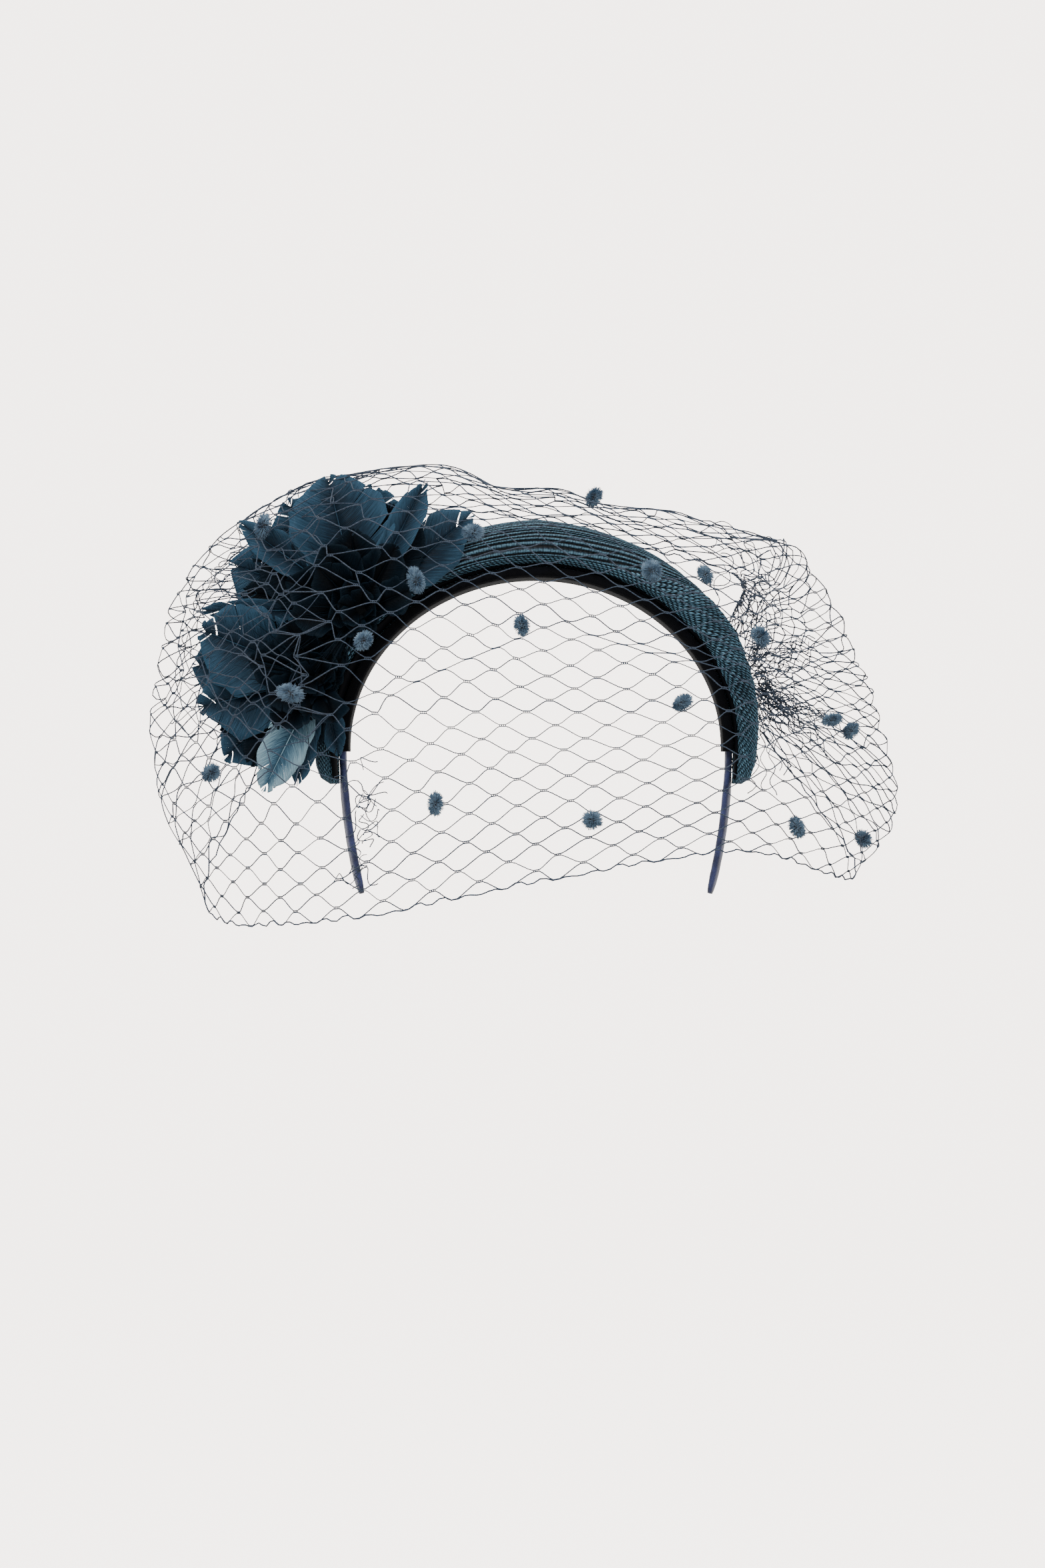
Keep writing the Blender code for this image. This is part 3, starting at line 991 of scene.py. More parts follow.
@dataclass
class FeatherFlower:
    """A flower of curled feathers round a stem on the front of the roll.

    A vane is made of clumps of barbs. Near the tip the clumps are smaller and stray to a ragged edge.
    """

    name: str
    foot: Vector
    seed: int
    stem_radius: float = 0.0042
    level_step: float = 0.0026
    fit: float = 0.0003
    barbs: int = 130
    barb_points: int = 7
    vane: float = 0.00014
    root: float = 0.14
    peak: float = 1.3
    round_end: float = 0.88
    shoulder: float = 0.74
    tip: float = 1.03
    sweep: float = 0.24
    ragged: float = 0.09
    frayed_from: float = 0.72
    fray: float = 0.015
    clump: tuple[int, int] = (12, 44)
    tip_clump: tuple[int, int] = (5, 16)
    ruffle: float = 0.0016
    bay: float = 0.07
    quill: float = 0.00036
    strand: float = 0.00022
    nest_count: int = 34
    nest_barbs: int = 26
    nest_turn: float = 137.5
    nest_short: float = 0.80
    inward: float = -35.0
    inward_spread: float = 75.0

    def half_width(self, share: float) -> float:
        """How wide a feather is along its length.

        Args:
            share: The share of its length.

        Returns:
            The half width, as a share of the widest.
        """
        share = np.clip(share, 0, 1.1)
        broad = self.root + (1 - self.root) * np.sin(self.round_end * math.pi * share**self.peak) ** 0.8
        past = np.clip((share - self.shoulder) / (self.tip - self.shoulder), 0, 1)
        return float(broad * (1 - past**1.9) ** 0.60)

    def spine(self, petal: Petal, samples: int = 60) -> tuple[Array, Array]:
        """Draws the line of a feather's quill.

        Args:
            petal: The feather.
            samples: In how many steps its quill is drawn.

        Returns:
            Places out from the stem and towards the viewer, and the slopes between them.
        """
        places = np.linspace(0, 1, samples + 1)
        slopes = np.radians(petal.lean + petal.curl * (places[1:] + places[:-1]) / 2)
        moves = petal.length / samples * np.stack([np.cos(slopes), np.sin(slopes)], axis=1)
        return np.concatenate([[(0, 0)], np.cumsum(moves, axis=0)]), slopes

    def surface(self, petal: Petal, along: Array, across: Array | float, lift: Array | float) -> Array:
        """Points of a feather.

        Args:
            petal: The feather.
            along: Shares of its length.
            across: Shares of its half width, from -1 to 1.
            lift: How far towards the viewer.

        Returns:
            One point in a row for each place.
        """
        turn = math.radians(petal.angle)
        outward = np.array([math.cos(turn), 0, math.sin(turn)])
        sideways = np.array([-outward[2], 0, outward[0]])
        forward = np.array([0, -1.0, 0])
        start = np.array(self.foot) + forward * self.level_step * (petal.level + 0.5)
        start = start + outward * (self.stem_radius * petal.start + self.fit)
        spine, slopes = self.spine(petal)
        places = np.linspace(0, 1, len(spine))
        past = np.maximum(along - 1, 0) * petal.length
        out = np.interp(along, places, spine[:, 0]) + past * math.cos(slopes[-1])
        front = np.interp(along, places, spine[:, 1]) + past * math.sin(slopes[-1])
        half = petal.width / 2
        lift = petal.cup * half * across**2 * np.minimum(along * 3, 1) + lift
        lift = lift + self.ruffle * np.sin(along * 7 + petal.angle) * across * np.abs(across)
        flat = start + np.outer(out, outward) + np.outer(half * across, sideways)
        return flat + np.outer(front + lift, forward)

    def vanes(self, petal: Petal, count: int) -> Array:
        """The barbs of a feather as ribbons, which lie side by side and part into a ragged edge.

        Args:
            petal: The feather.
            count: How many barbs each side has.

        Returns:
            For each ribbon, its two edges of points.
        """
        rng = np.random.default_rng(self.seed + sum(ord(c) for c in petal.name))
        ribbons = []
        t = np.linspace(0, 1, self.barb_points)
        for side in (-1, 1):
            bays = rng.uniform(0, TURN, 2)
            edges = [0]
            while edges[-1] < count:
                near_tip = edges[-1] > self.frayed_from * count
                edges.append(edges[-1] + int(rng.integers(*(self.tip_clump if near_tip else self.clump))))
            edges[-1] = count
            for first, last in zip(edges, edges[1:]):
                middle, half_clump = (first + last) / 2, max((last - first) / 2, 1)
                reach = 1.0 - self.ragged * rng.random() ** 2
                near_tip = first > self.frayed_from * count
                part = (0.015 + 0.06 * rng.random()) * (0.15 if near_tip else 0.8)
                fray = self.fray * rng.uniform(-1.0, 0.7) * near_tip
                turn = rng.normal(0, 0.010)
                rise = rng.normal(0, 0.00028)
                for number in range(first, last):
                    place = (number + 0.5 - middle) / half_clump
                    gap = part * place * half_clump / count * 0.9
                    pair = []
                    for edge in (number, number + 1):
                        end = 0.07 + (self.tip - 0.072) * math.sin(edge / count * math.pi / 2) ** 0.92 + fray
                        wave = math.sin(9 * end + bays[0]) + 0.6 * math.sin(23 * end + bays[1])
                        width = self.half_width(end) * (1 + self.bay * wave)
                        start = min(max(end - self.sweep * width - 0.02, 0.0), 0.96)
                        long = reach * (1 - 0.04 * place**2) - 0.015 * rng.random()
                        along = start + (end - start) * t**1.15 * long - gap * t**3 + turn * t**2
                        across = side * width * t**0.9 * (0.30 + 0.70 * long)
                        lift = rise * t**2 + self.vane / 2 * math.sin(number * 1.7) * t
                        pair.append(self.surface(petal, along, across, lift))
                    ribbons.append(np.stack(pair))
        return np.array(ribbons)

    def petal(self, petal: Petal, finish: Material, *nodes: str) -> Piece:
        """Makes one feather: a quill and two vanes of barbs.

        Args:
            petal: Its place and shape.
            finish: The feather's material.
            *nodes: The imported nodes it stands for.

        Returns:
            The feather.
        """
        name = f"plume_{self.name}_{petal.name}"
        made = self.ribbon_piece(f"{name}_barbs", self.vanes(petal, self.barbs), self.barbs)
        path = self.surface(petal, np.linspace(0.0, 0.90, 20), 0.0, np.full(20, 0.0001))
        shaft = tubes(f"{name}_quill", [path], self.quill, 6, (1.0, 0.7, 0.2))
        shaft.data.uv_layers.new(name=MAP)
        return dress(join_pieces(made, shaft, name), finish, Slot.FEATHER, *nodes)

    def ribbon_piece(self, name: str, ribbons: Array, count: int) -> Piece:
        """Makes many ribbons as one mesh with a wall.

        Args:
            name: The piece's name.
            ribbons: For each ribbon, its two edges of points, one side of a feather after the other.
            count: How many ribbons each side has.

        Returns:
            The ribbons, mapped along the feather and from quill to edge.
        """
        total, _, points, _ = ribbons.shape
        index = np.arange(total * 2 * points).reshape(total, 2, points)
        faces = np.stack([index[:, 0, :-1], index[:, 0, 1:], index[:, 1, 1:], index[:, 1, :-1]], axis=-1)
        mesh = bpy.data.meshes.new(name)
        mesh.from_pydata(ribbons.reshape(-1, 3), [], faces.reshape(-1, 4).tolist())
        ribbon = np.repeat(np.arange(total), points - 1)
        side = np.where(ribbon // count % 2 == 0, -1.0, 1.0)
        step = np.tile(np.arange(points - 1), total) / (points - 1)
        along = (ribbon[:, None] % count + np.array([0.0, 0.0, 1.0, 1.0])) / count
        across = (step[:, None] + np.array([0, 1, 1, 0]) / (points - 1)) * side[:, None]
        mesh.uv_layers.new(name=MAP).data.foreach_set("uv", np.stack([along, across], axis=-1).ravel())
        made = link(bpy.data.objects.new(name, mesh))
        thicken(made, self.vane)
        return made

    def filaments(self, finish: Material, ways: tuple[float, float], count: int) -> Piece:
        """Makes the thin dark strands that stand out of the flower's heart.

        Args:
            finish: Their material.
            ways: The least and the most of their angles, in degrees.
            count: How many there are.

        Returns:
            The strands as one piece.
        """
        rng = np.random.default_rng(self.seed)
        along = np.linspace(0, 1, 9)
        paths = []
        for _ in range(count):
            strand = Petal(
                "strand", ways[0] + (ways[1] - ways[0]) * rng.random(), 8 + 40 * rng.random(),
                0.020 + 0.018 * rng.random(), 0.008, 0, -40 * rng.random(), 1 + 3 * rng.random(),
            )
            paths.append(self.surface(strand, along, rng.normal(0, 0.6) * along**2, 0.0))
        made = tubes(f"filaments_{self.name}", paths, self.strand, 4, (1.0, 0.9, 0.3))
        made.data.uv_layers.new(name=MAP)
        return dress(made, finish, Slot.FEATHER)

    def nest(self, finish: Material) -> Piece:
        """Makes the short feathers that crowd over the stem, shortest towards the head, in the near-black
        finish that paints the shade of the flower's heart.

        Args:
            finish: Their material.

        Returns:
            The feathers as one piece.
        """
        rng = np.random.default_rng(self.seed + 50)
        ribbons = []
        for number in range(self.nest_count):
            share = number / self.nest_count
            angle = self.nest_turn * number
            inward = math.exp(-((math.remainder(angle - self.inward, 360) / self.inward_spread) ** 2))
            long = (0.0190 - 0.006 * share + 0.004 * rng.random()) * (1 - self.nest_short * inward)
            short = Petal(
                f"nest_{number}", angle, 4 + 66 * share**1.3, long, 0.0130 - 0.003 * share, 0.30, -14,
                0.1 + 4.2 * share, 0.2,
            )
            ribbons.append(self.vanes(short, self.nest_barbs))
        made = self.ribbon_piece(f"nest_{self.name}", np.concatenate(ribbons), self.nest_barbs)
        return dress(made, finish, Slot.FEATHER)

    def centre(self, finish: Material) -> Piece:
        """Makes the dark stem, wound with fine thread.

        Args:
            finish: The felt.

        Returns:
            The stem.
        """
        length = self.level_step * 5
        turns, per_turn = 11, 16
        t = np.linspace(0, 1, turns * per_turn)
        radius = self.stem_radius * 0.80 * (1 - 0.25 * t**3)
        x, y, z = self.foot
        path = np.c_[
            x + radius * np.cos(TURN * turns * t), y - 0.0006 - (length - 0.0012) * t,
            z + radius * np.sin(TURN * turns * t),
        ]
        winding = tubes(f"flower_winding_{self.name}", [path], 0.00072, 6)
        bpy.ops.object.select_all(action="DESELECT")
        bpy.ops.mesh.primitive_cone_add(
            vertices=24, radius1=self.stem_radius * 0.86, radius2=self.stem_radius * 0.5, depth=length,
            location=(x, y - length / 2, z), rotation=(math.pi / 2, 0, 0),
        )
        core = bpy.context.object
        bpy.ops.object.transform_apply(location=True, rotation=True, scale=True)
        with edited(core):
            bpy.ops.mesh.bevel(offset=0.0006, segments=2)
        stem = join_pieces(core, winding, f"flower_heart_{self.name}")
        return dress(stem, finish, Slot.FELT, f"flower_stem_{self.name}")


@dataclass
class VeilSurface:
    """The surface that the net lies in, from the edge behind the roll to the hem."""

    roll: RollShape
    gather_length: float = 0.038
    gather_rise: float = 0.0008
    left_gather: float = -0.52
    right_gather: float = 0.70
    left: float = 0.164
    right: float = 0.154
    top: float = 0.041
    drop: float = 0.145
    reach: float = 0.108
    back: float = 0.032
    front_at: float = 0.20
    front_full: float = 0.84
    samples: int = 300
    small: float = 0.004
    lines: tuple[tuple[float, ...], ...] = (
        # left, right, z_left, z_left_front, z_middle, z_right_front, z_right, side, front
        (-0.46, 0.58, 0.44, 0.74, 0.64, 0.30, -0.02, -0.30, -1.00),
        (-0.62, 0.68, 0.84, 1.17, 0.92, 0.62, 0.34, -0.10, 0.12),
        (-0.83, 0.77, 0.36, 0.84, 0.66, 0.30, 0.04, 0.02, 0.46),
        (-0.95, 0.86, -0.08, -0.03, -0.02, -0.10, -0.20, 0.06, 0.72),
        (-1.00, 0.94, -0.38, -0.40, -0.34, -0.32, -0.42, 0.08, 0.90),
        (-0.97, 1.00, -0.66, -0.74, -0.62, -0.57, -0.66, 0.10, 0.98),
        (-0.86, 0.89, -0.95, -1.00, -0.89, -0.80, -0.86, 0.12, 1.00),
    )
    guides: Array = field(init=False)
    guide_lengths: Array = field(init=False)

    def __post_init__(self) -> None:
        """Draws the lengthwise lines."""
        drawn = [self.line(index) for index in range(len(self.lines))]
        self.guides = np.array([points for points, _ in drawn])
        self.guide_lengths = np.array([length for _, length in drawn])

    def gather(self, along: float, share: float = 0.5) -> Array:
        """A point of a gathered end, on the outer edge of the roll.

        Args:
            along: Where the gather is, as a signed share of the roll's half.
            share: Where in the gather, from 0 to 1.

        Returns:
            The point.
        """
        side = math.copysign(1, along)
        length = np.array([along * self.roll.half + side * self.gather_length * (share - 0.5)])
        top = self.roll.size(length)[0]
        return self.roll.line.place(length, self.roll.under + top + self.gather_rise, np.zeros(1))[0]

    def line(self, index: int) -> tuple[Array, float]:
        """One lengthwise line of the veil.

        Args:
            index: Which row of the table.

        Returns:
            Evenly spaced points from the left gather to the right, and the line's length.
        """
        left, right, *heights, side, front = self.lines[index]
        share = index / (len(self.lines) - 1)
        x_left, x_right = left * self.left, right * self.right
        z = [h * (self.top if h > 0 else self.drop) for h in heights]
        y_side, y_front = (-d * (self.reach if d > 0 else self.back) for d in (side, front))
        y_full = y_side + self.front_full * (y_front - y_side)
        inward = self.front_at * (x_right - x_left)
        x = (x_left, x_left + inward, (x_left + x_right) / 2, x_right - inward, x_right)
        between = zip(x, (y_side, y_full, y_front, y_full, y_side), z)
        first, last = (self.gather(end, share) for end in (self.left_gather, self.right_gather))
        places = np.array([first, *between, last])
        spans = path_lengths(places)
        points = smooth_between(spans, places, np.linspace(0, spans[-1], self.samples))
        lengths = path_lengths(points)
        even = np.linspace(0, lengths[-1], self.samples)
        return np.stack([np.interp(even, lengths, points[:, k]) for k in range(3)], axis=1), lengths[-1]

    def point(self, column: Array, row: Array) -> Array:
        """Points of the surface.

        Args:
            column: Shares of the lines' length.
            row: Shares of the width.

        Returns:
            One point in a row for each place.
        """
        even = np.linspace(0, 1, self.samples)
        at = np.clip(column, 0, 1)
        across = np.stack(
            [np.stack([np.interp(at, even, line[:, k]) for k in range(3)], axis=1) for line in self.guides]
        )
        places = np.linspace(0, 1, len(self.lines))
        slopes = np.gradient(across, places, axis=0)
        row = np.clip(row, 0, 1)
        index = np.clip(np.searchsorted(places, row) - 1, 0, len(places) - 2)
        step = places[1]
        t = ((row - places[index]) / step)[:, None]
        pick = np.arange(len(row))
        return blend(t, step, (across[index, pick], across[index + 1, pick]),
                     (slopes[index, pick], slopes[index + 1, pick]))

    def normal(self, column: Array, row: Array) -> Array:
        """The directions out of the surface, away from the head.

        Args:
            column: Shares of the lines' length.
            row: Shares of the width.

        Returns:
            One direction in a row for each place.
        """
        along = self.point(column + self.small, row) - self.point(column - self.small, row)
        down = self.point(column, row + self.small) - self.point(column, row - self.small)
        across = np.cross(down, along)
        return across / np.maximum(np.linalg.norm(across, axis=1, keepdims=True), 1e-12)

    def length_at(self, row: Array) -> Array:
        """The length of the lengthwise lines at shares of the width."""
        return np.interp(row, np.linspace(0, 1, len(self.lines)), self.guide_lengths)


@dataclass
class NetVeil:
    """The veil: fine zigzag threads that run beside each other and are tied where they meet."""

    surface: VeilSurface
    row_height: float = 0.0060
    pitch: float = 0.0105
    columns: int = 58
    thread: float = 0.00026
    tie: float = 0.0026
    gap: float = 0.0008
    bunch: float = 0.030
    slant: float = 0.246
    slant_reach: float = 14.0
    fold: float = 0.0050
    fold_reach: float = 0.030
    dent: float = 0.0010
    crest: float = 0.0022
    seed: int = 7
    # right and up in the front view, of the two ends of each crease
    creases: tuple[tuple[float, float, float, float], ...] = (
        (-0.074, -0.055, -0.012, -0.030),
        (0.0235, -0.027, 0.068, -0.038),
    )
    crease_width: float = 0.0085
    crease_end: float = 0.012
    crease_pull: float = 0.72
    crease_depth: float = 0.003
    rows: int = field(init=False)
    row_places: Array = field(init=False)
    nods: Array = field(init=False)

    def __post_init__(self) -> None:
        """Spaces the rows evenly down the front and draws the small random shifts of the ties."""
        shares = np.linspace(0, 1, 400)
        down = path_lengths(self.surface.point(np.full(400, 0.5), shares))
        self.rows = int(round(down[-1] / self.row_height / 2)) * 2
        self.row_places = np.interp(np.linspace(0, down[-1], self.rows + 1), down, shares)
        rng = np.random.default_rng(self.seed)
        self.nods = rng.normal(0, 1, (2, self.columns + 1, self.rows + 2))

    @property
    def half_tie(self) -> float:
        """Half the length of a tie, in half diamonds."""
        return self.tie / 2 / self.pitch

    @property
    def off(self) -> float:
        """How far a thread runs beside the middle of its ties, in half diamonds."""
        return self.gap / 2 / self.row_height

    def share(self, column: Array, across: Array) -> Array:
        """Where a column of the flat net falls along its line, as a share.

        The net keeps its size from the middle outwards, and what is left over is bunched at the gathers.

        Args:
            column: Columns from the middle, in half diamonds.
            across: Shares of the width.

        Returns:
            Shares of the line's length.
        """
        length = self.surface.length_at(across)
        half = length / 2
        flat = np.abs(column) * self.pitch
        most = self.columns / 2 * self.pitch
        free = half - self.bunch
        bunched = free + (flat - free) / np.maximum(most - free, 1e-6) * self.bunch
        at = np.where(most > half, np.where(flat < free, flat, bunched), flat * half / most)
        return 0.5 + np.sign(column) * np.minimum(at, half) / length

    def disorder(self, share: Array, across: Array) -> Array:
        """How far the ties stray from their even places.

        Args:
            share: Shares of the lines' length.
            across: Shares of the width.

        Returns:
            How far, in half diamonds.
        """
        ends = np.exp(-np.minimum(share, 1 - share) / 0.10)
        flower = np.exp(-(((share - 0.29) / 0.13) ** 4) - ((across - 0.52) / 0.26) ** 4)
        crest = np.exp(-(((across - 0.12) / 0.12) ** 2))
        return 0.05 + 0.30 * ends + 0.42 * flower + 0.24 * crest

    def lay(self, column: Array, row: Array, lift: Array | float = 0.0) -> Array:
        """Lays flat net points on the veil's surface, with dents, creases and the folds of the gathers.

        Args:
            column: Columns from the middle, in half diamonds.
            row: Rows from the back edge, in half diamonds.
            lift: How far out of the surface.

        Returns:
            One point in a row for each flat point.
        """
        window = np.exp(-((column / self.slant_reach) ** 2))
        window = window * np.sin(math.pi * np.clip(row / self.rows, 0, 1))
        row = row + self.slant * column * window
        across = np.interp(row, np.arange(self.rows + 1), self.row_places)
        share = self.share(column, across)
        point = self.surface.point(share, across)
        normal = self.surface.normal(np.clip(share, 0.01, 0.99), np.clip(across, 0.01, 0.99))
        to_end = np.minimum(share, 1 - share) * self.surface.length_at(across)
        folds = self.fold * np.exp(-to_end / self.fold_reach) * np.clip(to_end / 0.010, 0, 1)
        folds = folds * np.sin(row * 1.9 + 1.5 * np.sin(row * 0.6))
        dents = self.dent * np.sin(column * 0.47 + row * 0.31) * np.sin(row * 0.53 - column * 0.19)
        waves = np.sin(column * 1.15 + 0.8 * np.sin(column * 0.37))
        crest = self.crest * np.exp(-(((across - 0.14) / 0.10) ** 2)) * waves
        point = point + normal * (folds + dents + crest + lift)[:, None]
        for crease in self.creases:
            self.draw_in(point, np.array(crease[:2]), np.array(crease[2:]))
        return point

    def draw_in(self, point: Array, start: Array, end: Array) -> None:
        """Draws the points near a crease towards it and back.

        Args:
            point: The points, which are changed.
            start: One end of the crease, right and up in the front view.
            end: Its other end.
        """
        run = float(np.linalg.norm(end - start))
        way = (end - start) / run
        away = point[:, (0, 2)] - start
        along = away @ way
        off = away @ np.array((-way[1], way[0]))
        past = np.maximum(np.maximum(-along, along - run), 0)
        near = np.exp(-((off / self.crease_width) ** 2) - (past / self.crease_end) ** 2)
        pull = self.crease_pull * near * (point[:, 1] < -0.03)
        point[:, 0] += way[1] * off * pull
        point[:, 2] -= way[0] * off * pull
        point[:, 1] += self.crease_depth * pull

    def tie_shift(self, k: int, row: int) -> tuple[float, float]:
        """How far one tie strays.

        Args:
            k: The tie's column, from the left edge.
            row: Its row, from the back edge.

        Returns:
            How far along and how far across, in half diamonds.
        """
        across = float(np.interp(row, np.arange(self.rows + 1), self.row_places))
        share = self.share(np.array([k - self.columns / 2]), np.array([across]))
        stray = float(self.disorder(share, np.array([across]))[0])
        edge = 0.3 if row in (0, self.rows) else 1.0
        return stray * self.nods[0, k, row], stray * self.nods[1, k, row] * 0.8 * edge

    def threads(self) -> list[Array]:
        """Draws the zigzag threads, one for each half row.

        Returns:
            The points of each thread.
        """
        half_tie, off = self.half_tie, self.off
        made = []
        for row in range(self.rows):
            columns, rows = [], []
            for k in range(self.columns + 1):
                high = (k + row) % 2 == 0
                at = row if high else row + 1
                side, down = self.tie_shift(k, at)
                c = k - self.columns / 2 + side
                r = at + down + (off if high else -off)
                columns += [c - half_tie, c + half_tie]
                rows += [r, r]
                if k < self.columns:
                    to = row + 1 if high else row
                    side_next, down_next = self.tie_shift(k + 1, to)
                    c_next = k + 1 - self.columns / 2 + side_next - half_tie
                    r_next = to + down_next + (-off if high else off)
                    for t in (0.2, 0.5, 0.8):
                        bend = 0.5 - 0.5 * math.cos(math.pi * t)
                        columns.append(c + half_tie + (c_next - c - half_tie) * t)
                        rows.append(r + (r_next - r) * (0.6 * t + 0.4 * bend))
            made.append(self.lay(np.array(columns), np.array(rows)))
        return made

    def ties(self) -> list[Array]:
        """Draws the short rungs that tie two threads together.

        Returns:
            The points of each rung.
        """
        columns, rows = [], []
        for row in range(1, self.rows):
            for k in range(row % 2, self.columns + 1, 2):
                side, down = self.tie_shift(k, row)
                c = k - self.columns / 2 + side
                for t in (-0.9, -0.3, 0.3, 0.9):
                    for s in (-1.1, 0.0, 1.1):
                        columns.append(c + t * self.half_tie)
                        rows.append(row + down + s * self.off)
        return list(self.lay(np.array(columns), np.array(rows)).reshape(-1, 3, 3))

    def selvedges(self) -> list[Array]:
        """Draws the firmer threads along the hem and the back edge.

        Returns:
            The points of each thread.
        """
        columns = np.linspace(-self.columns / 2, self.columns / 2, self.columns * 4)
        sway = (0.12 + 0.3 * np.sin(columns * 0.83) ** 2) * np.sin(columns * math.pi) ** 2
        return [self.lay(columns, row + sway * way, 0.0001) for row, way in ((0, 1), (self.rows, -1))]

    def curls(self, centre: Sequence[float], spread: Sequence[float], count: int, size: float) -> list[Array]:
        """Short curly ends of thread round a place.

        Args:
            centre: The middle of the tangle.
            spread: How far it reaches each way.
            count: How many ends there are.
            size: The typical width of a curl.

        Returns:
            The ends, as points.
        """
        rng = np.random.default_rng(self.seed + count)
        t = np.linspace(0, 1, 14)
        made = []
        for _ in range(count):
            start = np.array(centre) + rng.uniform(-1, 1, 3) * np.array(spread)
            heading = rng.normal(0, 1, 3) * np.array((1, 0.5, 1))
            heading /= np.linalg.norm(heading)
            side = np.cross(heading, rng.normal(0, 1, 3))
            side /= np.linalg.norm(side)
            third = np.cross(heading, side)
            turns = rng.uniform(0.4, 1.5) * TURN
            run = rng.uniform(0.8, 2.6) * size
            curl = size * rng.uniform(0.25, 0.6)
            path = start + np.outer(t * run, heading) + np.outer(curl * np.sin(turns * t), side)
            made.append(path + np.outer(curl * (1 - np.cos(turns * t)), third))
        return made

    def second_layer(
        self, columns: tuple[float, float], rows: tuple[float, float], depth: float
    ) -> list[Array]:
        """A part of the veil that is folded back on itself, as zigzag threads that stray far.

        Args:
            columns: From which column to which it reaches.
            rows: From which row to which it reaches.
            depth: How far behind the outer layer it lies.

        Returns:
            The threads, as points.
        """
        wide, tall = int(columns[1] - columns[0]), int(rows[1] - rows[0])
        rng = np.random.default_rng(self.seed + 90)
        stray = rng.normal(0, 0.27, (2, wide + 1, tall + 2))
        first = int(columns[0]) + self.columns // 2
        places = np.arange(wide + 1.0)
        t = np.linspace(0, wide, wide * 7 + 1)
        behind = -depth * np.clip((wide - t) / 4, 0, 1) ** 0.7
        made = []
        for row in range(tall):
            at = [row if (k + row) % 2 == 0 else row + 1 for k in range(wide + 1)]
            ties = [(columns[0] + k + stray[0, k, a], rows[0] + a + stray[1, k, a]) for k, a in enumerate(at)]
            side, down = self.tie_shift(first + wide, int(rows[0]) + at[-1])
            ties[-1] = (columns[1] + side, rows[0] + at[-1] + down)
            knots = np.array(ties)
            straight = np.stack([np.interp(t, places, knots[:, k]) for k in (0, 1)], axis=1)
            path = 0.7 * smooth_between(places, knots, t) + 0.3 * straight
            made.append(self.lay(path[:, 0], path[:, 1], behind))
        return made

    def strands(
        self, centre: Sequence[float], ways: tuple[float, float], length: float, count: int
    ) -> list[Array]:
        """Long wavy threads that fan out of a gather.

        Args:
            centre: Where they start.
            ways: The least and the most of their angles in the front view, in degrees.
            length: The longest one's length.
            count: How many there are.

        Returns:
            The threads, as points.
        """
        rng = np.random.default_rng(self.seed + 300 + count)
        t = np.linspace(0, 1, 28)
        made = []
        for _ in range(count):
            way = math.radians(rng.uniform(*ways))
            heading = np.array((math.cos(way), rng.uniform(-0.5, 0.3), math.sin(way)))
            side = np.array((-math.sin(way), 0.0, math.cos(way)))
            swing = rng.uniform(0.0012, 0.0032)
            phase = TURN * (rng.uniform(1.6, 4.2) * t + rng.random())
            start = np.array(centre) + rng.normal(0, 0.0025, 3)
            path = start + np.outer(t * length * rng.uniform(0.5, 1.0), heading)
            path += np.outer(swing * np.sin(phase) * t**0.3, side)
            made.append(path + np.outer(0.7 * swing * np.cos(phase) * t**0.3, (0.0, 1.0, 0.0)))
        return made

    def tangles(self) -> list[Array]:
        """Draws the loose threads at both gathers, over the hem and in the folded-back part.

        Returns:
            The points of each thread.
        """
        right = self.surface.gather(self.surface.right_gather)
        left = self.surface.gather(self.surface.left_gather)
        return [
            *self.curls(right + np.array((0.007, 0, -0.004)), (0.008, 0.008, 0.013), 70, 0.0056),
            *self.strands(right + np.array((0.003, 0, -0.006)), (-100, -18), 0.046, 26),
            *self.strands(right + np.array((0.002, 0, 0.004)), (10, 100), 0.032, 14),
            *self.second_layer((-17.0, -6.0), (10.0, 34.0), 0.010),
            *self.curls(left + np.array((-0.004, 0, 0.002)), (0.006, 0.006, 0.008), 50, 0.0045),
            *self.curls((-0.0715, -0.094, -0.100), (0.003, 0.002, 0.026), 22, 0.0050),
            *self.curls((0.092, -0.030, 0.008), (0.014, 0.012, 0.008), 16, 0.0070),
        ]

    def build(self, finish: Material) -> None:
        """Makes the threads, the ties and the tangles of the gathers.

        Args:
            finish: The thread's material.
        """
        threads = tubes("veil_threads", self.threads(), self.thread, 4)
        edges = tubes("veil_edges", self.selvedges(), self.thread * 1.2, 6)
        net = join_pieces(threads, edges, "veil_threads")
        ties = tubes("veil_ties", self.ties(), self.thread * 0.8, 4)
        tangle = tubes("veil_tangles", self.tangles(), self.thread * 0.9, 4)
        dress(net, finish, Slot.NET, "veil_net")
        dress(ties, finish, Slot.NET)
        dress(tangle, finish, Slot.NET)


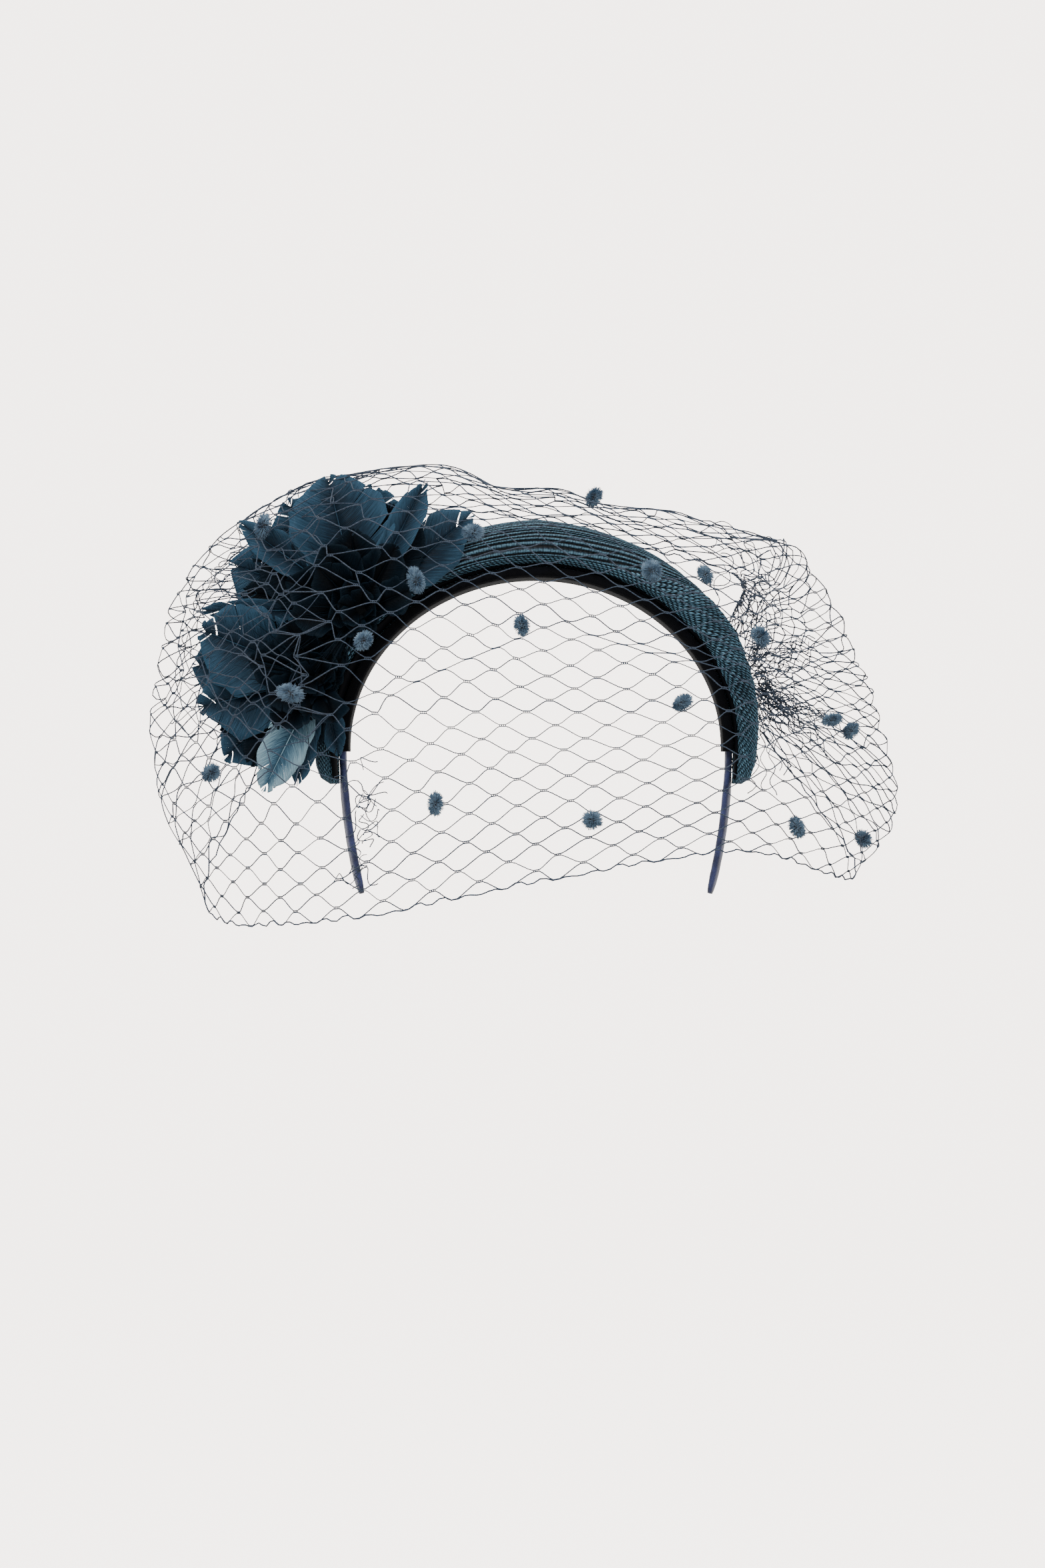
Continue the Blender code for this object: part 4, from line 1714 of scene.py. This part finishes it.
@dataclass
class ChenilleSpots:
    """The soft spots on the net: short tufts of cut chenille pile."""

    surface: VeilSurface
    eye: float = 2.10
    eye_x: float = -0.0057
    eye_z: float = -0.088
    seed: int = 21
    fibres: int = 700
    core: float = 0.0012
    pile: float = 0.0036
    thread: float = 0.00015
    lift: float = 0.0012
    # right and up in the front view, then how much wider and how much taller than the usual
    spots: tuple[tuple[float, float, float, float], ...] = (
        (0.0250, 0.0356, 1.00, 1.00),
        (0.0497, 0.0032, 1.00, 1.35),
        (0.0720, 0.0011, 0.90, 1.00),
        (-0.0057, -0.0209, 0.95, 1.00),
        (0.0961, -0.0257, 1.00, 1.15),
        (0.0629, -0.0534, 1.10, 0.90),
        (0.1270, -0.0602, 1.00, 0.85),
        (0.1347, -0.0649, 0.85, 1.00),
        (0.1117, -0.1062, 0.90, 1.15),
        (0.1405, -0.1113, 1.05, 0.90),
        (0.0250, -0.1042, 0.95, 1.15),
        (-0.1172, 0.0224, 1.00, 1.30),
        (-0.0264, 0.0193, 1.35, 0.85),
        (-0.0524, -0.0015, 1.00, 1.30),
        (-0.0738, -0.0270, 0.90, 1.15),
        (-0.1059, -0.0498, 1.60, 0.90),
        (-0.1388, -0.0836, 0.90, 1.15),
        (-0.0440, -0.0964, 0.95, 1.15),
    )

    def place(self, number: int) -> Array:
        """Where a spot's centre is: on the nearest front part of the veil that lies under it.

        Args:
            number: Which spot, from 1.

        Returns:
            The centre.
        """
        x, z = self.spots[number - 1][:2]
        grid = np.meshgrid(np.linspace(0.03, 0.97, 240), np.linspace(0.02, 0.99, 200))
        columns, rows = (part.ravel() for part in grid)
        points = self.surface.point(columns, rows)
        scale = self.eye / (self.eye + points[:, 1])
        off_x = self.eye_x + (points[:, 0] - self.eye_x) * scale - x
        off_z = self.eye_z + (points[:, 2] - self.eye_z) * scale - z
        best = int(np.argmin(np.hypot(off_x, off_z) + np.where(points[:, 1] > -0.004, 0.05, 0)))
        normal = self.surface.normal(columns[best : best + 1], rows[best : best + 1])[0]
        return points[best] + normal * self.lift

    def spot(self, number: int, finish: Material) -> Piece:
        """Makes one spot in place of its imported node.

        Args:
            number: Which spot, from 1.
            finish: The pile's material.

        Returns:
            The spot.
        """
        centre = self.place(number)
        wide, tall = self.spots[number - 1][2:]
        rng = np.random.default_rng(self.seed + number)
        axis = rng.normal(0, 1, 3) * np.array((0.6, 0.2, 1))
        axis /= np.linalg.norm(axis)
        way = rng.normal(0, 1, (self.fibres, 3))
        way /= np.linalg.norm(way, axis=1, keepdims=True)
        root = centre + axis * (way @ axis * self.core)[:, None]
        reach = self.pile * (0.86 + 0.2 * rng.random(self.fibres))
        tip = root + way * reach[:, None] + rng.normal(0, 0.0002, (self.fibres, 3))
        middle = root + way * (0.5 * reach)[:, None] + rng.normal(0, 0.0001, (self.fibres, 3))
        paths = np.stack([root + way * 0.0004, middle, tip], axis=1)
        paths = list(centre + (paths - centre) * np.array((wide, 1.0, tall)))
        tuft = tubes(f"chenille_tuft_{number:02d}", paths, self.thread, 4, (1.0, 1.0, 0.45))
        return dress(tuft, finish, Slot.CHENILLE, f"chenille_spot_{number:02d}")


@dataclass
class Studio:
    """The pale floor that turns up into a wall all round, the soft lights and the camera."""

    distance: float = 2.10
    frame_height: float = 0.675
    centre_x: float = -0.0057
    centre_z: float = -0.088
    floor: float = -0.62
    flat: float = 3.6
    bend: float = 1.2
    rise: float = 6.0
    colour: str = "f8f0ea"
    glow: float = 4.2
    room: str = "f6f3f1"
    room_strength: float = 0.95
    film: float = 36

    def sweep(self) -> None:
        """Makes the floor and wall as one turned sheet, which lets the room's light through."""
        arc = self.bend * math.pi / 2

        def place(along: Array, across: Array) -> Array:
            """The points at shares along and across."""
            s = 0.01 + across * (self.flat + arc + self.rise)
            turn = np.clip((s - self.flat) / self.bend, 0, math.pi / 2)
            out = np.minimum(s, self.flat) + self.bend * np.sin(turn)
            z = self.floor + self.bend * (1 - np.cos(turn)) + np.maximum(s - self.flat - arc, 0)
            return np.c_[out * np.cos(TURN * along), out * np.sin(TURN * along), z]

        wall = sheet("pale_sweep", (97, 60), place, (1.0, 1.0))
        glow = srgb(self.colour)
        look = Paint("pale paper").finish(
            glow, Roughness=0.9, Specular_IOR_Level=0.1, Emission_Color=glow, Emission_Strength=self.glow
        )
        wall.data.materials.append(look)
        wall.visible_diffuse = False
        wall.visible_glossy = False
        wall.visible_shadow = False

    def light(
        self, name: str, place: Sequence[float], target: Sequence[float], size: float, power: float
    ) -> None:
        """Adds one square soft light that faces a target.

        Args:
            name: Its name.
            place: Where it hangs.
            target: What it faces.
            size: How long its side is.
            power: Its power in watts.
        """
        data = bpy.data.lights.new(name, "AREA")
        data.shape = "SQUARE"
        data.size = size
        data.energy = power
        lamp = link(bpy.data.objects.new(name, data))
        lamp.location = place
        lamp.rotation_euler = (Vector(target) - Vector(place)).to_track_quat("-Z", "Y").to_euler()

    def camera(self) -> None:
        """Adds the camera, level and in front of the hat."""
        data = bpy.data.cameras.new("camera")
        data.sensor_fit = "VERTICAL"
        data.sensor_height = self.film
        data.lens = self.film * self.distance / self.frame_height
        data.clip_start = 0.1
        data.clip_end = 50
        camera = link(bpy.data.objects.new("camera", data))
        camera.location = (self.centre_x, -self.distance, self.centre_z)
        camera.rotation_euler = (math.pi / 2, 0, 0)
        bpy.context.scene.camera = camera

    def build(self) -> None:
        """Sets up the whole studio."""
        self.sweep()
        self.light("key", (-1.1, -1.9, 1.5), (0, 0, -0.05), 1.4, 55.0)
        self.light("fill", (1.6, -1.6, 0.5), (0, 0, -0.05), 1.6, 20.0)
        self.light("top", (0.1, 0.1, 1.9), (0, 0, 0), 1.3, 24.0)
        world = bpy.data.worlds.new("soft room")
        bpy.context.scene.world = world
        world.use_nodes = True
        background = world.node_tree.nodes["Background"]
        background.inputs["Color"].default_value = srgb(self.room)
        background.inputs["Strength"].default_value = self.room_strength
        self.camera()


UPPER_PETALS = (
    Petal("arched", 41, 8, 0.0580, 0.0250, -0.22, -14, 1),
    Petal("brush", 63, 14, 0.0560, 0.0150, 0.20, -16, 2),
    Petal("crown", 84, 0, 0.0480, 0.0420, 0.15, 4, 0),
    Petal("top", 104, 13, 0.0540, 0.0450, 0.12, -22, 2),
    Petal("shoulder", 124, 3, 0.0510, 0.0400, 0.10, -6, 1),
    Petal("curl", 144, 12, 0.0590, 0.0150, 0.20, -24, 2),
    Petal("dark", 160, -4, 0.0540, 0.0380, 0.10, -2, 0),
    Petal("sliver", 180, 8, 0.0640, 0.0110, 0.20, -16, 1),
    Petal("inner_right", 20, 40, 0.0260, 0.0170, 0.30, 10, 3),
    Petal("inner_top", 135, 40, 0.0280, 0.0190, 0.30, 10, 3),
)
LOWER_PETALS = (
    Petal("broad", 158, 13, 0.0500, 0.0410, 0.12, -20, 2),
    Petal("ragged", 174, -2, 0.0500, 0.0350, 0.10, -2, 0),
    Petal("left", 194, 8, 0.0480, 0.0340, 0.12, -8, 1),
    Petal("hip", 220, 0, 0.0480, 0.0340, 0.10, 2, 0),
    Petal("pale", 244, 14, 0.0490, 0.0205, 0.12, -14, 2),
    Petal("tail", 258, 7, 0.0420, 0.0120, 0.15, -4, 1),
    Petal("small", 284, 6, 0.0300, 0.0110, 0.15, 4, 0),
    Petal("inner_left", 205, 42, 0.0270, 0.0180, 0.30, 10, 3),
    Petal("inner_low", 290, 42, 0.0240, 0.0160, 0.30, 10, 3),
)
# Darker feathers between the others, with no imported node of their own: their near-black finish is painted
# shade in the flower's heart.
UPPER_FILLERS = (
    Petal("fill_0", 214, 10, 0.0300, 0.0240, 0.10, 6, 1.5),
    Petal("fill_2", 58, 4, 0.0400, 0.0240, 0.10, 0, 1.5),
    Petal("fill_3", 74, 6, 0.0420, 0.0280, 0.10, -4, 1.0),
    Petal("fill_4", 96, 6, 0.0430, 0.0280, 0.10, -4, 0.7),
    Petal("fill_5", 115, 8, 0.0420, 0.0300, 0.10, -6, 1.5),
    Petal("fill_6", 137, 4, 0.0440, 0.0280, 0.10, -4, 0.4),
    Petal("fill_7", 153, 6, 0.0450, 0.0260, 0.10, -6, 1.4),
    Petal("fill_8", 171, 2, 0.0460, 0.0240, 0.10, -2, 0.6),
    Petal("core_1", 60, 34, 0.0300, 0.0200, 0.40, -10, 2.4),
    Petal("core_2", 96, 30, 0.0320, 0.0220, 0.40, -12, 2.8),
    Petal("core_3", 118, 38, 0.0300, 0.0220, 0.40, -10, 3.2),
    Petal("core_4", 158, 34, 0.0320, 0.0200, 0.40, -12, 2.6),
    Petal("core_5", 188, 36, 0.0280, 0.0180, 0.40, -12, 3.4),
)
LOWER_FILLERS = (
    Petal("fill_0", 112, 6, 0.0340, 0.0240, 0.10, -4, 1.2),
    Petal("fill_1", 136, 6, 0.0400, 0.0240, 0.10, -4, 1.4),
    Petal("fill_2", 166, 4, 0.0440, 0.0260, 0.10, -4, 0.6),
    Petal("fill_3", 184, 2, 0.0430, 0.0240, 0.10, -2, 0.4),
    Petal("fill_4", 206, 4, 0.0430, 0.0260, 0.10, -4, 0.6),
    Petal("fill_5", 231, 5, 0.0420, 0.0260, 0.10, -4, 1.0),
    Petal("fill_6", 250, 3, 0.0360, 0.0220, 0.10, -2, 0.5),
    Petal("core_1", 120, 36, 0.0260, 0.0180, 0.40, -10, 3.0),
    Petal("core_2", 165, 32, 0.0280, 0.0200, 0.40, -12, 2.6),
    Petal("core_3", 230, 34, 0.0260, 0.0180, 0.40, -12, 2.8),
    Petal("core_4", 258, 40, 0.0170, 0.0140, 0.40, -10, 3.2),
)


def stem_foot(name: str) -> Vector:
    """Where a packed flower stem meets the roll, in the middle of its back face."""
    low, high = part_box(name)
    return Vector(((low.x + high.x) / 2, high.y, (low.z + high.z) / 2))


def build_flowers() -> None:
    """Builds both flowers, each from its packed feathers, the fillers, the nest and the stem."""
    blue = FeatherFinish("teal feather", "040b12", "0c2232", "2d4e64", 0.15, 0.16).make()
    # The near-black copy of the feather finish is painted shade: it darkens the inner feathers, the fillers,
    # the nest and the strands in the flower's heart.
    shaded = FeatherFinish("deep feather", "010204", "03080e", "0a1a25", 0.0, 0.08).make()
    pale = FeatherFinish("pale feather", "0d212d", "35566a", "93b2bf", 0.2, 0.16).make()
    felt = PlainFinish("dark felt", "010204", "03060a", 900.0, 0.95).make()
    for name, petals, fillers, seed in (
        ("upper", UPPER_PETALS, UPPER_FILLERS, 3),
        ("lower", LOWER_PETALS, LOWER_FILLERS, 5),
    ):
        flower = FeatherFlower(name, stem_foot(f"flower_stem_{name}"), seed)
        for petal in petals:
            look = {"pale": pale, "inner": shaded}.get(petal.name.split("_")[0], blue)
            flower.petal(petal, look, f"feather_{name}_{petal.name}")
        for petal in fillers:
            flower.petal(petal, shaded)
        flower.nest(shaded)
        flower.filaments(shaded, (120, 250), 60)
        flower.centre(felt)


def build_veil(roll: RollShape) -> None:
    """Builds the net and the spots on it.

    Args:
        roll: The roll that the net is gathered to.
    """
    surface = VeilSurface(roll)
    NetVeil(surface).build(PlainFinish("net thread", "222b37", "414d5d", 1500.0, 0.75).make())
    pile = PlainFinish("chenille pile", "1c3850", "6f879b", 260.0, 1.0, 0.3).make()
    spots = ChenilleSpots(surface)
    for number in range(1, len(spots.spots) + 1):
        spots.spot(number, pile)


def main() -> None:
    """Builds the hat and its studio, piece by piece."""
    logging.basicConfig(level=logging.INFO, format="%(name)s %(message)s")
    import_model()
    line = HeadLine()
    roll = RollShape(line)
    Headband(line).build(SatinFinish("indigo satin", "10142b", "3b4472", 0.38, 0.2, 0.3).make())
    lining = HaloLining(line, roll)
    black = SatinFinish("black satin", "010103", "04050a", 0.6, 0.0, 0.06).make()
    lining.build(black)
    lining.wrap(black)
    straw = StrawRoll(roll)
    straw.build(straw.finish())
    build_flowers()
    build_veil(roll)
    Studio().build()


if __name__ == "__main__":
    main()
